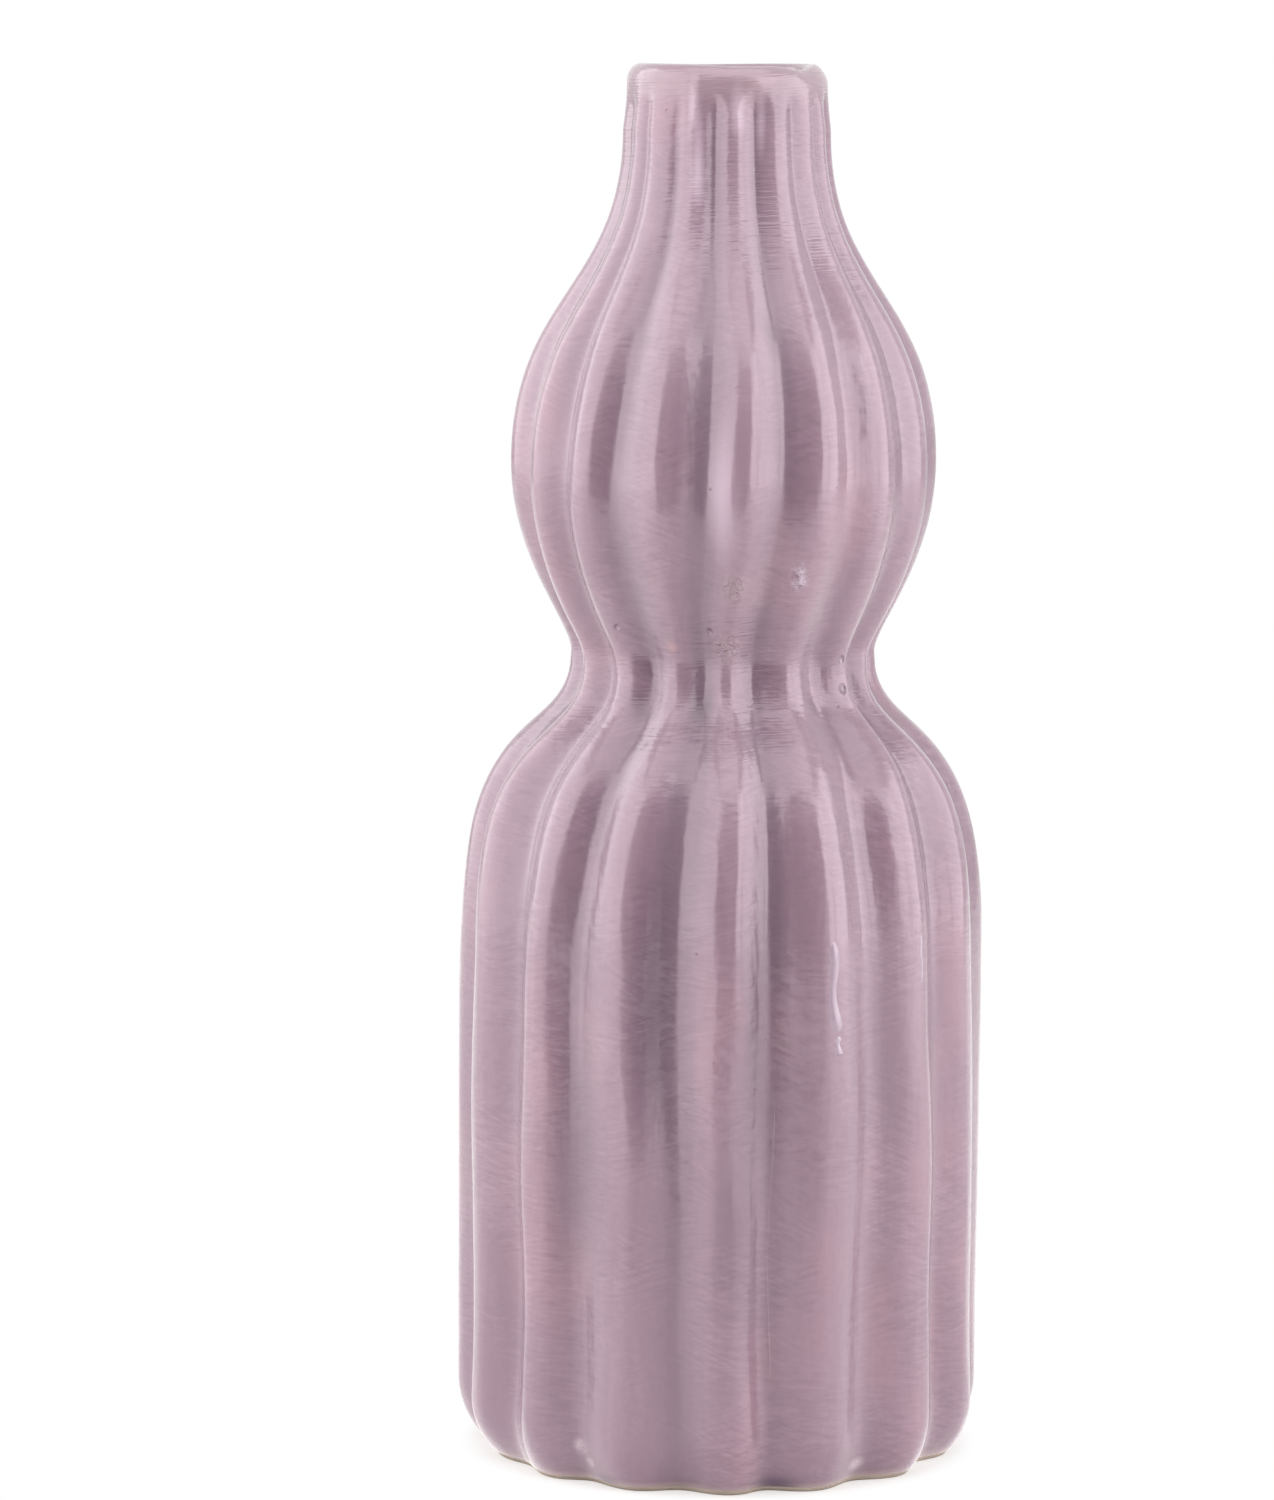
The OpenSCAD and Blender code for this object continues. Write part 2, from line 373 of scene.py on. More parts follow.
    # Low on the body the glaze settled more evenly, which ends over these heights
    settled_pool: float = 0.5
    settled_share: float = 0.5
    settled_from: float = 45 * MM
    settled_to: float = 125 * MM
    crest_flat_share: float = 0.05
    # Between these heights the grooves turn from even waves to narrow cuts between round lobes
    lobed_from: float = 238 * MM
    lobed_to: float = 266 * MM
    cut_softness: float = 0.2
    sway_share: float = 0.015
    sway_length: float = 46 * MM
    sway_turn: float = 2.4

    def table_at(self, levels: tuple[float, ...], table: tuple, flutes: np.ndarray,
                 heights: np.ndarray) -> np.ndarray:
        """Read a table of shares smoothly at any height.

        Args:
            levels: Heights of the table's rows in millimetres.
            table: One row of shares for each level.
            flutes: Which flute each value is for.
            heights: The height of each value.

        Returns:
            One share for each flute and height.
        """
        at = np.array(levels) * MM
        rows = np.array(table)
        slopes = np.gradient(rows, at, axis=0)
        low = np.clip(np.searchsorted(at, heights, side="right") - 1, 0, len(at) - 2)
        high = low + 1
        span = at[high] - at[low]
        t = np.clip((heights - at[low]) / span, 0, 1)
        wrapped = np.mod(flutes, self.count)
        s = eased(t)
        level = rows[low, wrapped] * (1 - s) + rows[high, wrapped] * s
        bent = t * (1 - t) ** 2 * slopes[low, wrapped] - t**2 * (1 - t) * slopes[high, wrapped]
        return level + bent * span

    def crest_angle(self, flutes: np.ndarray, heights: np.ndarray) -> np.ndarray:
        """Find each crest at each height.

        Args:
            flutes: The crests' numbers.
            heights: Their heights.

        Returns:
            Angles counted from +X.
        """
        shift = self.table_at(self.levels, self.shift_shares, flutes, heights)
        wrapped = np.mod(flutes, self.count)
        sway = self.sway_share * np.sin(TURN * heights / self.sway_length + self.sway_turn * wrapped)
        return self.first_crest - math.pi / 2 + (flutes + shift + sway) * TURN / self.count

    def angle_at(self, places: np.ndarray, heights: np.ndarray) -> np.ndarray:
        """Find the angle of each place.

        Args:
            places: Each one a flute's number plus the share of the way across it.
            heights: Their heights.

        Returns:
            Angles counted from +X.
        """
        flutes = np.floor(places).astype(int)
        across = places - flutes
        start = self.crest_angle(flutes, heights)
        return start + (self.crest_angle(flutes + 1, heights) - start) * across

    def hollow_at(self, places: np.ndarray, heights: np.ndarray) -> np.ndarray:
        """Find how far into a groove each place lies.

        Args:
            places: Places round the vase.
            heights: Their heights.

        Returns:
            Shares of the groove's depth: 0 on a crest and 1 at the bottom.
        """
        flutes = np.floor(places).astype(int)
        valley = self.table_at(self.valley_levels, self.valley_shares, flutes, heights)
        across = places - flutes
        across = across + (1 / 2 - valley) * np.sin(math.pi * across) ** 2
        wave = (1 - np.cos(TURN * across)) / 2
        wave = wave - self.crest_flat_share * (1 - np.cos(2 * TURN * across)) / 2
        soft = self.cut_softness
        lobe = math.hypot(1, soft) - np.hypot(np.cos(math.pi * across), soft)
        lobed = eased((heights - self.lobed_from) / (self.lobed_to - self.lobed_from))
        return wave + (lobe / (math.hypot(1, soft) - soft) - wave) * lobed

    def pool_at(self, places: np.ndarray, heights: np.ndarray) -> np.ndarray:
        """Find how thick the glaze lies at each place.

        Args:
            places: Places round the vase.
            heights: Their heights.

        Returns:
            0 on a crest and about 1 in a groove.
        """
        flutes = np.mod(np.floor(places).astype(int), self.count)
        fade = eased((self.outline.flute_top_z - heights) / self.fade_h)
        pooled = self.hollow_at(places, heights) * np.array(self.pool_shares)[flutes] * fade
        sharp = eased((heights - self.settled_from) / (self.settled_to - self.settled_from))
        kept = self.settled_share + (1 - self.settled_share) * sharp
        return self.settled_pool + (pooled - self.settled_pool) * kept

    def depth_at(self, places: np.ndarray, heights: np.ndarray) -> np.ndarray:
        """Find how deep the groove is at each place.

        Args:
            places: Places round the vase.
            heights: Their heights.

        Returns:
            Depths in metres.
        """
        flutes = np.floor(places).astype(int)
        share = self.table_at(self.depth_levels, self.depth_shares, flutes, heights)
        fade = eased((self.outline.flute_top_z - heights) / self.fade_h)
        return self.depth * share * self.outline.radius_at(heights) / self.outline.body_r * fade


@dataclass(frozen=True)
class Dent:
    """A soft hollow where the wet wall was leaned on, placed in degrees from the front."""

    angle: float
    height: float
    reach_across: float
    reach_up: float
    depth: float


@dataclass(frozen=True)
class LipDrop:
    """A low place along the lip, in degrees from the front."""

    angle: float
    reach: float
    depth: float


@dataclass(frozen=True)
class HandWork:
    """What hands leave in the wall and at the lip: soft waves, tool marks, dents and an uneven lip."""

    outline: Outline
    wave_size: float = 26 * MM
    wave_depth: float = 0.2 * MM
    mark_size: float = 5.5 * MM
    mark_length: float = 60 * MM
    mark_depth: float = 0.07 * MM
    ripple_size: float = 9 * MM
    ripple_depth: float = 0.05 * MM
    upright_share: float = 0.45
    box_gap: float = 0.1 * MM
    box_softness: float = 0.05 * MM
    dents: tuple[Dent, ...] = (
        Dent(-88, 122 * MM, 26, 17 * MM, 0.7 * MM),
        Dent(-72, 0.0, 9, 7 * MM, 1.2 * MM),
        Dent(-24, 108 * MM, 24, 34 * MM, 0.55 * MM),
    )
    lip_drops: tuple[LipDrop, ...] = (
        LipDrop(58, 19, 1.15 * MM),
        LipDrop(10, 26, 0.45 * MM),
        LipDrop(-160, 40, 0.3 * MM),
    )
    lip_reach: float = 14 * MM
    # The lip's outer corner is worn on one side, from this radius outward
    soft_corner: LipDrop = LipDrop(92, 38, 0.9 * MM)
    corner_r: float = 18.6 * MM
    corner_sharpness: int = 4

    def cloud(self, points: np.ndarray, sizes: tuple[float, float, float]) -> np.ndarray:
        """Return a smooth cloudy value, about -1 to 1, at each point."""
        return np.array([noise.noise(Vector(p)) for p in (points / np.array(sizes)).tolist()])

    def sink(self, points: np.ndarray) -> np.ndarray:
        """Find how far the outside lies in from the plain form.

        Args:
            points: Points of the plain form.

        Returns:
            One depth for each point.
        """
        flat = points.reshape(-1, 3)
        wave, ripple = self.wave_size, self.ripple_size
        depth = self.wave_depth * self.cloud(flat, (wave, wave, wave / self.upright_share))
        depth += self.mark_depth * self.cloud(flat, (self.mark_size, self.mark_size, self.mark_length))
        depth += self.ripple_depth * self.cloud(flat, (ripple, ripple, ripple))
        angles = front_angles(flat)
        for dent in self.dents:
            up = ((flat[:, 2] - dent.height) / dent.reach_up) ** 2
            depth += dent.depth * np.exp(-(bell(angles, dent.angle, dent.reach_across) + up))
        calm = eased((self.outline.height - flat[:, 2]) / self.lip_reach)
        return (depth * calm).reshape(points.shape[:-1])

    def kept_inside(self, radii: np.ndarray) -> np.ndarray:
        """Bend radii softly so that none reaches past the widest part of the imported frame.

        Args:
            radii: Radii of the outside.

        Returns:
            The same radii, short of the limit.
        """
        limit = self.outline.body_r - self.box_gap
        over = (radii - limit) / self.box_softness
        return radii - self.box_softness * np.logaddexp(0.0, over)

    def settle(self, points: np.ndarray) -> np.ndarray:
        """Let the lip dip where the real one does.

        Args:
            points: Points of any piece, in metres.

        Returns:
            The points, lowered near the lip.
        """
        angles = front_angles(points)
        near = eased((points[..., 2] - self.outline.height + self.lip_reach) / self.lip_reach)
        drop = np.zeros(points.shape[:-1])
        for low in self.lip_drops:
            drop += low.depth * np.exp(-bell(angles, low.angle, low.reach))
        corner = self.soft_corner
        outward = eased((np.hypot(points[..., 0], points[..., 1]) - self.corner_r) / (
            self.outline.lip_r - self.corner_r))
        lowered = corner.depth * np.exp(-bell(angles, corner.angle, corner.reach))
        drop += lowered * outward * near**self.corner_sharpness
        settled = points.copy()
        settled[..., 2] -= drop * near
        return settled


@dataclass(frozen=True)
class VaseForm:
    """The form that the clay and both coats of glaze share."""

    outline: Outline
    fluting: Fluting
    hands: HandWork
    columns_per_flute: int = 20
    mouth_r: float = 16.4 * MM
    mouth_bore_h: float = 25 * MM
    wall: float = 4.5 * MM
    floor_t: float = 7 * MM
    floor_round: float = 9 * MM
    glaze_t: float = 0.4 * MM
    lip_outer_round_share: float = 0.6
    lip_drop_share: float = 0.97
    lip_inner_round_share: float = 0.38
    deepest_groove_share: float = 1.1
    corner_rows: int = 9
    floor_rows: int = 11
    place_steps: int = 1601
    # A flat starts this far from its middle, which a fan of triangles closes
    middle_r: float = 0.5 * MM

    @property
    def lip_wall(self) -> float:
        """Return the thickness of the glazed wall at the lip."""
        return self.outline.lip_r - self.mouth_r

    @property
    def places(self) -> np.ndarray:
        """Return the place of each column round the vase."""
        count = self.fluting.count * self.columns_per_flute
        return np.arange(count) / self.columns_per_flute

    def skin(self, places: np.ndarray, heights: np.ndarray,
             inset: float | np.ndarray = 0.0) -> np.ndarray:
        """Give points on the fluted outside, or a coat's thickness behind it.

        Args:
            places: Place of each point round the vase.
            heights: Height of each point, or of each row of points.
            inset: How far behind the surface the points lie.

        Returns:
            One point for each place and height.
        """
        angles = self.fluting.angle_at(places, heights)
        hollow = self.fluting.depth_at(places, heights) * self.fluting.hollow_at(places, heights)
        radii = self.outline.radius_at(heights) - hollow
        radii = self.hands.kept_inside(radii - self.hands.sink(turned(radii, angles, heights)))
        return turned(radii - inset * self.outline.slant_at(heights), angles, heights)

    def point_at(self, angle: float, height: float) -> tuple[float, float, float]:
        """Find a point of the glazed outside.

        Args:
            angle: Its angle in degrees from the front.
            height: Its height.

        Returns:
            The point.
        """
        places = np.linspace(-self.fluting.count / 2, self.fluting.count / 2, self.place_steps)
        at = np.degrees(self.fluting.angle_at(places, np.array(height))) + HALF_TURN_DEG / 2
        place = np.interp([angle], at, places)
        x, y, z = self.skin(place, np.array([height]))[0]
        return (float(x), float(y), float(z))

    def rings(self, radii: np.ndarray, heights: np.ndarray) -> np.ndarray:
        """Turn a line of radii and heights into round rings of points.

        Args:
            radii: Radius of each ring.
            heights: Height of each ring.

        Returns:
            Rings by columns of points.
        """
        z = heights[:, None]
        return turned(radii[:, None], self.fluting.angle_at(self.places, z), z)

    def outer_lip(self, inset: float, steps: int = 14) -> np.ndarray:
        """Turn over the lip's outside in a curve that is taller than wide.

        Args:
            inset: How far behind the glaze's face the curve lies.
            steps: How many rows it has.

        Returns:
            Rows of radius and height.
        """
        across = self.lip_outer_round_share * self.lip_wall
        down = self.lip_drop_share * self.outline.lip_band
        a = np.linspace(0, math.pi / 2, steps)
        return np.stack([
            self.outline.lip_r - across + (across - inset) * np.cos(a),
            self.outline.height - down + (down - inset) * np.sin(a),
        ], axis=-1)

    def inner_lip(self, inset: float, steps: int = 8) -> np.ndarray:
        """Turn from the lip's top into the bore in a quarter circle.

        Args:
            inset: How far behind the glaze's face the curve lies.
            steps: How many rows it has.

        Returns:
            Rows of radius and height.
        """
        bend = self.lip_inner_round_share * self.lip_wall
        a = np.linspace(0, math.pi / 2, steps)
        return np.stack([
            self.mouth_r + bend - (bend - inset) * np.sin(a),
            self.outline.height - bend + (bend - inset) * np.cos(a),
        ], axis=-1)

    def inside(self, inset: float, rows: int = 60) -> np.ndarray:
        """Follow the inside from the bore down to the middle of the floor.

        Args:
            inset: Thickness of glaze on the clay.
            rows: How many rows the wall has.

        Returns:
            Rows of radius and height.
        """
        bore_z = self.outline.height - self.lip_inner_round_share * self.lip_wall - self.mouth_bore_h
        corner_z = self.floor_t + self.floor_round
        z = self.outline.even_heights(corner_z, bore_z, rows)[::-1]
        crest = self.outline.radius_at(z)
        groove = self.fluting.depth * self.deepest_groove_share * crest / self.outline.body_r
        slant = self.outline.slant_at(z)
        clay = np.maximum(self.mouth_r + self.glaze_t, crest - groove - self.wall * slant)
        wall = np.stack([np.maximum(self.mouth_r, clay - inset * slant), z], axis=-1)
        centre = clay[-1] - self.floor_round
        a = np.linspace(math.pi / 2, 0, self.corner_rows + 1)[1:]
        corner = np.stack([
            centre + (self.floor_round - inset) * np.sin(a),
            corner_z - (self.floor_round - inset) * np.cos(a),
        ], axis=-1)
        floor = np.stack([
            np.linspace(corner[-1, 0], self.middle_r, self.floor_rows + 1)[1:],
            np.full(self.floor_rows, self.floor_t + inset),
        ], axis=-1)
        return np.concatenate([wall, corner, floor])


class Sheet:
    """Points in rings that become one mesh, open or closed at its ends."""

    def __init__(self) -> None:
        """Start with nothing."""
        self.points: list[np.ndarray] = []
        self.faces: list[np.ndarray] = []
        self.hollows: list[np.ndarray] = []
        self.lumps: list[np.ndarray] = []
        self.size = 0

    def add_rings(self, rings: np.ndarray, hollow: np.ndarray | float, lump: float = 0.0,
                  ends_joined: bool = False) -> None:
        """Add a grid of points and the quads between them.

        Args:
            rings: Rings by columns of points.
            hollow: How far into a groove each point lies, 0 to 1.
            lump: How much thicker the glaze lies here than round about, 0 to 1.
            ends_joined: Whether the last ring joins the first.
        """
        count, columns = rings.shape[:2]
        number = np.arange(count * columns).reshape(count, columns) + self.size
        number = np.concatenate([number, number[:, :1]], axis=1)
        if ends_joined:
            number = np.concatenate([number, number[:1]], axis=0)
        quads = np.stack([number[:-1, :-1], number[:-1, 1:], number[1:, 1:], number[1:, :-1]], axis=-1)
        self.points.append(rings.reshape(-1, 3))
        self.faces.append(quads.reshape(-1, 4))
        self.hollows.append(np.broadcast_to(hollow, rings.shape[:2]).reshape(-1))
        self.lumps.append(np.full(count * columns, lump))
        self.size += count * columns

    def add_closed(self, rings: np.ndarray, hollow: float, lump: float = 0.0) -> None:
        """Add rings and close both ends: the first facing down and the last facing up.

        Args:
            rings: Rings by columns of points.
            hollow: How far into a groove they lie, 0 to 1.
            lump: How much thicker the glaze lies here than round about, 0 to 1.
        """
        start, columns = self.size, rings.shape[1]
        self.add_rings(rings, hollow, lump)
        self.close_end(start, columns, up=False)
        self.close_end(start + (len(rings) - 1) * columns, columns, up=True)

    def close_end(self, first: int, columns: int, up: bool) -> None:
        """Close a ring with a fan of triangles to its middle.

        Args:
            first: Number of the ring's first point.
            columns: How many points the ring has.
            up: Whether the fan faces up.
        """
        ring = np.arange(columns) + first
        flat = np.concatenate(self.points)
        self.points.append(flat[ring].mean(axis=0)[None])
        self.hollows.append(np.zeros(1))
        self.lumps.append(np.zeros(1))
        follow = np.roll(ring, -1)
        middle = np.full(columns, self.size)
        turn = (ring, follow, middle) if up else (follow, ring, middle)
        self.faces.append(np.stack(turn, axis=-1))
        self.size += 1

    def build(self, name: str, sharp_angle: float) -> bpy.types.Object:
        """Make the Blender object.

        Args:
            name: Name of the object.
            sharp_angle: Edges bent by more than this stay sharp.

        Returns:
            The object, linked to the scene.
        """
        mesh = bpy.data.meshes.new(name)
        faces = [face for group in self.faces for face in group.tolist()]
        mesh.from_pydata(np.concatenate(self.points).tolist(), [], faces)
        mesh.validate()
        mesh.shade_smooth()
        mesh.set_sharp_from_angle(angle=sharp_angle)
        for layer, values in ((GROOVE_LAYER, self.hollows), (LUMP_LAYER, self.lumps)):
            made = mesh.attributes.new(layer, "FLOAT", "POINT")
            made.data.foreach_set("value", np.concatenate(values).astype(np.float32))
        mesh.update()
        piece = bpy.data.objects.new(name, mesh)
        bpy.context.scene.collection.objects.link(piece)
        return piece


class Tint(Enum):
    """Colours of the glaze's faults, and of the painted light and painted shade laid on it as colour."""

    PIT = "#B9A7B4"
    PINHOLE = "#A58C9B"
    PINK = "#B58E90"
    BLISTER = "#C9B8C8"
    COLUMN = "#A5948F"
    FOOT_SPOT = "#CDBBC4"
    # Painted highlight along a crest
    PAINTED_CREST_HIGHLIGHT = "#BBA3B2"
    # Painted light, laid on the glaze as a pale patch
    PAINTED_LIGHT_PATCH = "#D0BAC8"
    # Painted dark reflection of the dim room, laid on the glaze as a dark patch
    PAINTED_DARK_REFLECTION = "#5B4757"
    # Painted shade in the grooves below the waist
    WAIST_PAINTED_SHADE = "#4F3C4B"
    # Painted shade on the lip
    LIP_PAINTED_SHADE = "#6B5766"
    # Painted shade low at the foot, where the vase meets the table
    FOOT_PAINTED_SHADE = "#57415A"
    LEFT_FOOT_PAINTED_SHADE = "#62495F"


@dataclass(frozen=True)
class FlawOrPaintedLight:
    """A fault in the glaze, or a patch of painted light or painted shade laid on it as colour: where it is,
    how far it reaches, and what it does there.

    The angle is in degrees from the front. Height, reach and rise are in millimetres. A positive rise is
    a lump and a negative one a pit. The share of crinkle says how much of it is broken into wrinkles.
    """

    angle: float
    height: float
    reach: float
    stretch: float
    tint: Tint
    tint_share: float
    rise: float = 0.0
    crinkle: float = 0.0


@dataclass(frozen=True)
class HeightTint:
    """A tint whose share goes from start to end between two heights, and stays there beyond them."""

    low: float
    high: float
    start: float
    end: float
    tint: str


@dataclass(frozen=True)
class LilacGlaze:
    """Glossy lead-free earthenware glaze, tinted lilac and brushed on in three coats.

    It is thin and a little pink where it ran off the crests, and deeper and cooler where it pooled in the
    grooves. Brush strokes leave fine level lines under the gloss, and the firing leaves soft clouds.
    """

    form: VaseForm
    name: str = "lilac_glaze"
    pooled: str = "#7C6673"
    body: str = "#896F7D"
    thin: str = "#957B88"
    blush: str = "#A07D89"
    milky: str = "#AC9AA9"
    haze: str = "#FFE9F4"
    base_ior: float = 1.52
    roughness_low: float = 0.19
    roughness_high: float = 0.29
    coat_weight: float = 0.6
    coat_ior: float = 1.52
    coat_roughness: float = 0.14
    # Sizes of the patterns' patches, and how strong their finer patterns are
    noise_roughness: float = 0.55
    cloud_sizes: tuple[float, ...] = (15 * MM, 15 * MM, 36 * MM)
    blush_sizes: tuple[float, ...] = (28 * MM, 28 * MM, 61.6 * MM)
    run_sizes: tuple[float, ...] = (3.5 * MM, 3.5 * MM, 26 * MM)
    run_height: float = 0.11 * MM
    # How much clouds and runs count beside the groove, and how thick the glaze is for each colour
    thickness_spread: float = 0.6
    thin_to: float = 0.4
    body_at: float = 1.05
    pooled_from: float = 1.75
    blush_from: float = 0.52
    blush_to: float = 0.72
    blush_share: float = 0.5
    grain_size: float = 1.4 * MM
    grain_share: float = 0.4
    shade_reach: float = 0.35
    shade_swing: float = 0.14
    stroke_pitch: float = 0.75 * MM
    stroke_length: float = 6 * MM
    stroke_height: float = 0.035 * MM
    # How far each set of brush strokes leans, the size of the patches where it shows, and their edges
    stroke_sets: tuple[tuple[float, float], ...] = (
        (math.radians(24), 17 * MM), (math.radians(-16), 15 * MM), (math.radians(4), 26 * MM),
    )
    strokes_from: float = 0.45
    strokes_to: float = 0.62
    peel_size: float = 3.4 * MM
    peel_height: float = 0.1 * MM
    # Dry brush marks, on the neck above these heights and round the waist
    brush_length: float = 7 * MM
    brush_pitch: float = 0.45 * MM
    brush_height: float = 0.15 * MM
    brush_tilt: float = -0.06
    brushed_from: float = 246 * MM
    brushed_to: float = 268 * MM
    waist_reach: float = 42 * MM
    waist_share: float = 0.7
    wrinkle_size: float = 1.3 * MM
    wrinkles_from: float = 0.35
    wrinkles_to: float = 0.65
    pin_size: float = 13 * MM
    pin_r: float = 0.4 * MM
    pin_floor_share: float = 0.3
    pin_depth: float = 0.12 * MM
    # Paler glaze on the upper half, warmer at the lip, and lighter just above the bare line at the foot,
    # where thin glaze carries a painted reflection of the white table
    height_tints: tuple[HeightTint, ...] = (
        HeightTint(190 * MM, 250 * MM, 0.0, 0.09, "#B49BA8"),
        HeightTint(290 * MM, 296 * MM, 0.0, 0.55, "#A08A91"),
        # Lighter band at the foot: partly thin glaze, partly a painted reflection of the white table
        HeightTint(0.9 * MM, 2.7 * MM, 0.6, 0.0, "#BBA69E"),
    )
    # Real faults of the glaze come first. From the dark patch at -15.5 degrees on, every entry is painted
    # light or painted shade laid on as colour: painted dark reflections, painted shade, pale painted light
    # and a painted crest highlight.
    flaws_and_painted_light: tuple[FlawOrPaintedLight, ...] = (
        FlawOrPaintedLight(50.5, 174.3, 1.5, 0.75, Tint.PIT, 0.7, rise=-0.7),
        FlawOrPaintedLight(50, 168.3, 1.6, 0.75, Tint.PIT, 0.7, rise=-0.75),
        FlawOrPaintedLight(-39.5, 181.6, 0.9, 1.0, Tint.PINHOLE, 0.4, rise=-0.35),
        FlawOrPaintedLight(-4.6, 181.6, 0.9, 1.0, Tint.PINHOLE, 0.4, rise=-0.35),
        FlawOrPaintedLight(-18.4, 178, 2.2, 0.8, Tint.PINK, 0.6),
        FlawOrPaintedLight(23, 193.4, 6.2, 0.42, Tint.BLISTER, 0.9, rise=0.6, crinkle=1.0),
        FlawOrPaintedLight(3, 191, 6.5, 0.6, Tint.COLUMN, 0.6, rise=0.3, crinkle=1.0),
        FlawOrPaintedLight(1.5, 178, 6.5, 0.6, Tint.COLUMN, 0.5, rise=0.3, crinkle=1.0),
        FlawOrPaintedLight(-33.5, 8.5, 2.6, 1.0, Tint.FOOT_SPOT, 0.8, rise=0.14, crinkle=0.7),
        FlawOrPaintedLight(-31, 5.2, 1.9, 1.0, Tint.FOOT_SPOT, 0.7, rise=0.12, crinkle=0.7),
        FlawOrPaintedLight(35.5, 4.6, 2.2, 1.6, Tint.FOOT_SPOT, 0.8, rise=0.14, crinkle=0.4),
        # Painted dark reflections of the dim room
        FlawOrPaintedLight(-15.5, 104, 42, 0.17, Tint.PAINTED_DARK_REFLECTION, 0.75),
        FlawOrPaintedLight(8.2, 98, 44, 0.2, Tint.PAINTED_DARK_REFLECTION, 0.8),
        # Painted light on the lip
        FlawOrPaintedLight(20, 288, 11, 0.14, Tint.PAINTED_LIGHT_PATCH, 0.5),
        # Painted dark reflections of the dim room
        FlawOrPaintedLight(4.5, 60, 32, 0.25, Tint.PAINTED_DARK_REFLECTION, 0.4),
        FlawOrPaintedLight(-34, 68, 36, 0.3, Tint.PAINTED_DARK_REFLECTION, 0.7),
        # Painted shade in the grooves below the waist
        FlawOrPaintedLight(-31.4, 165, 8, 0.4, Tint.WAIST_PAINTED_SHADE, 0.6),
        FlawOrPaintedLight(-7.7, 165, 8, 0.5, Tint.WAIST_PAINTED_SHADE, 0.7),
        FlawOrPaintedLight(13.9, 165, 6, 0.3, Tint.WAIST_PAINTED_SHADE, 0.3),
        FlawOrPaintedLight(35.4, 165, 7, 0.3, Tint.WAIST_PAINTED_SHADE, 0.4),
        # Painted dark reflections of the dim room
        FlawOrPaintedLight(15.5, 244, 20, 0.2, Tint.PAINTED_DARK_REFLECTION, 0.45),
        FlawOrPaintedLight(-8.2, 244, 18, 0.18, Tint.PAINTED_DARK_REFLECTION, 0.35),
        # Painted light on the lip
        FlawOrPaintedLight(6, 290, 9, 0.25, Tint.PAINTED_LIGHT_PATCH, 0.5),
        FlawOrPaintedLight(-19, 291, 9, 0.2, Tint.PAINTED_LIGHT_PATCH, 0.5),
        # Painted shade on the lip
        FlawOrPaintedLight(33, 291, 8, 1.0, Tint.LIP_PAINTED_SHADE, 0.35),
        # Painted highlight along the front crest of the bulb
        FlawOrPaintedLight(-0.5, 210, 26, 0.2, Tint.PAINTED_CREST_HIGHLIGHT, 0.6),
        # Painted light on the neck
        FlawOrPaintedLight(-15.4, 277, 24, 0.09, Tint.PAINTED_LIGHT_PATCH, 0.7),
        # Painted shade low at the foot, where the vase meets the table
        FlawOrPaintedLight(15, 1.8, 3.4, 2.2, Tint.FOOT_PAINTED_SHADE, 0.9),
        FlawOrPaintedLight(-27, 1.6, 3.2, 1.6, Tint.LEFT_FOOT_PAINTED_SHADE, 0.7),
    )

    def material(self) -> bpy.types.Material:
        """Build the finish.

        Returns:
            The glaze as a material.
        """
        made = fresh_material(self.name)
        tree = made.node_tree
        place = add_node(tree, "ShaderNodeTexCoord").outputs["Object"]
        up = add_node(tree, "ShaderNodeSeparateXYZ", {0: place}).outputs["Z"]
        lump = add_node(tree, "ShaderNodeAttribute", attribute_name=LUMP_LAYER).outputs["Fac"]
        grain = self.pattern(tree, place, (self.grain_size,) * 3, FINE_DETAIL)
        strokes = self.strokes(tree, place)
        runs = self.pattern(tree, place, self.run_sizes, SOME_DETAIL)
        peel = self.pattern(tree, place, (self.peel_size,) * 3, LITTLE_DETAIL)
        colour = self.colour(tree, place, grain, strokes, runs)
        colour = self.tinted(tree, colour, lump, self.milky)
        for band in self.height_tints:
            share = ramp(tree, up, band.low, band.high, band.start, band.end)
            colour = self.tinted(tree, colour, share, band.tint)
        colour, relief = self.flawed_and_painted(tree, place, colour)
        gloss: Socket | None = None
        for height, rise in (
            (runs, self.run_height),
            (peel, self.peel_height),
            (self.pins(tree, place), self.pin_depth),
            (strokes, self.stroke_height),
            (self.brushing(tree, place, up), self.brush_height),
            (relief, MM),
        ):
            gloss = self.bumped(tree, height, rise, gloss)
        shader = add_node(tree, "ShaderNodeBsdfPrincipled", {
            "Base Color": colour,
            "Roughness": ramp(tree, grain, 0.0, 1.0, self.roughness_low, self.roughness_high, smooth=False),
            "IOR": self.base_ior,
            "Specular Tint": linear(self.haze),
            "Normal": gloss,
            "Coat Weight": self.coat_weight,
            "Coat IOR": self.coat_ior,
            "Coat Roughness": self.coat_roughness,
            "Coat Normal": gloss,
        })
        add_node(tree, "ShaderNodeOutputMaterial", {"Surface": shader.outputs[0]})
        return made

    def pattern(self, tree: Tree, place: Socket, sizes: tuple[float, ...], detail: float,
                tilt: float = 0.0) -> Socket:
        """Lay a cloudy pattern whose patches have real sizes.

        Args:
            tree: Node tree of the material.
            place: Where on the vase, in metres.
            sizes: Size of one patch along each axis.
            detail: How many finer patterns lie on it.
            tilt: How far the pattern leans, in radians.

        Returns:
            Values round one half.
        """
        laid = add_node(tree, "ShaderNodeMapping", {
            "Vector": place, "Rotation": (0.0, tilt, 0.0), "Scale": sizes}, vector_type="TEXTURE")
        return add_node(tree, "ShaderNodeTexNoise", {
            "Vector": laid.outputs[0], "Scale": 1.0, "Detail": detail, "Roughness": self.noise_roughness,
        }).outputs[0]

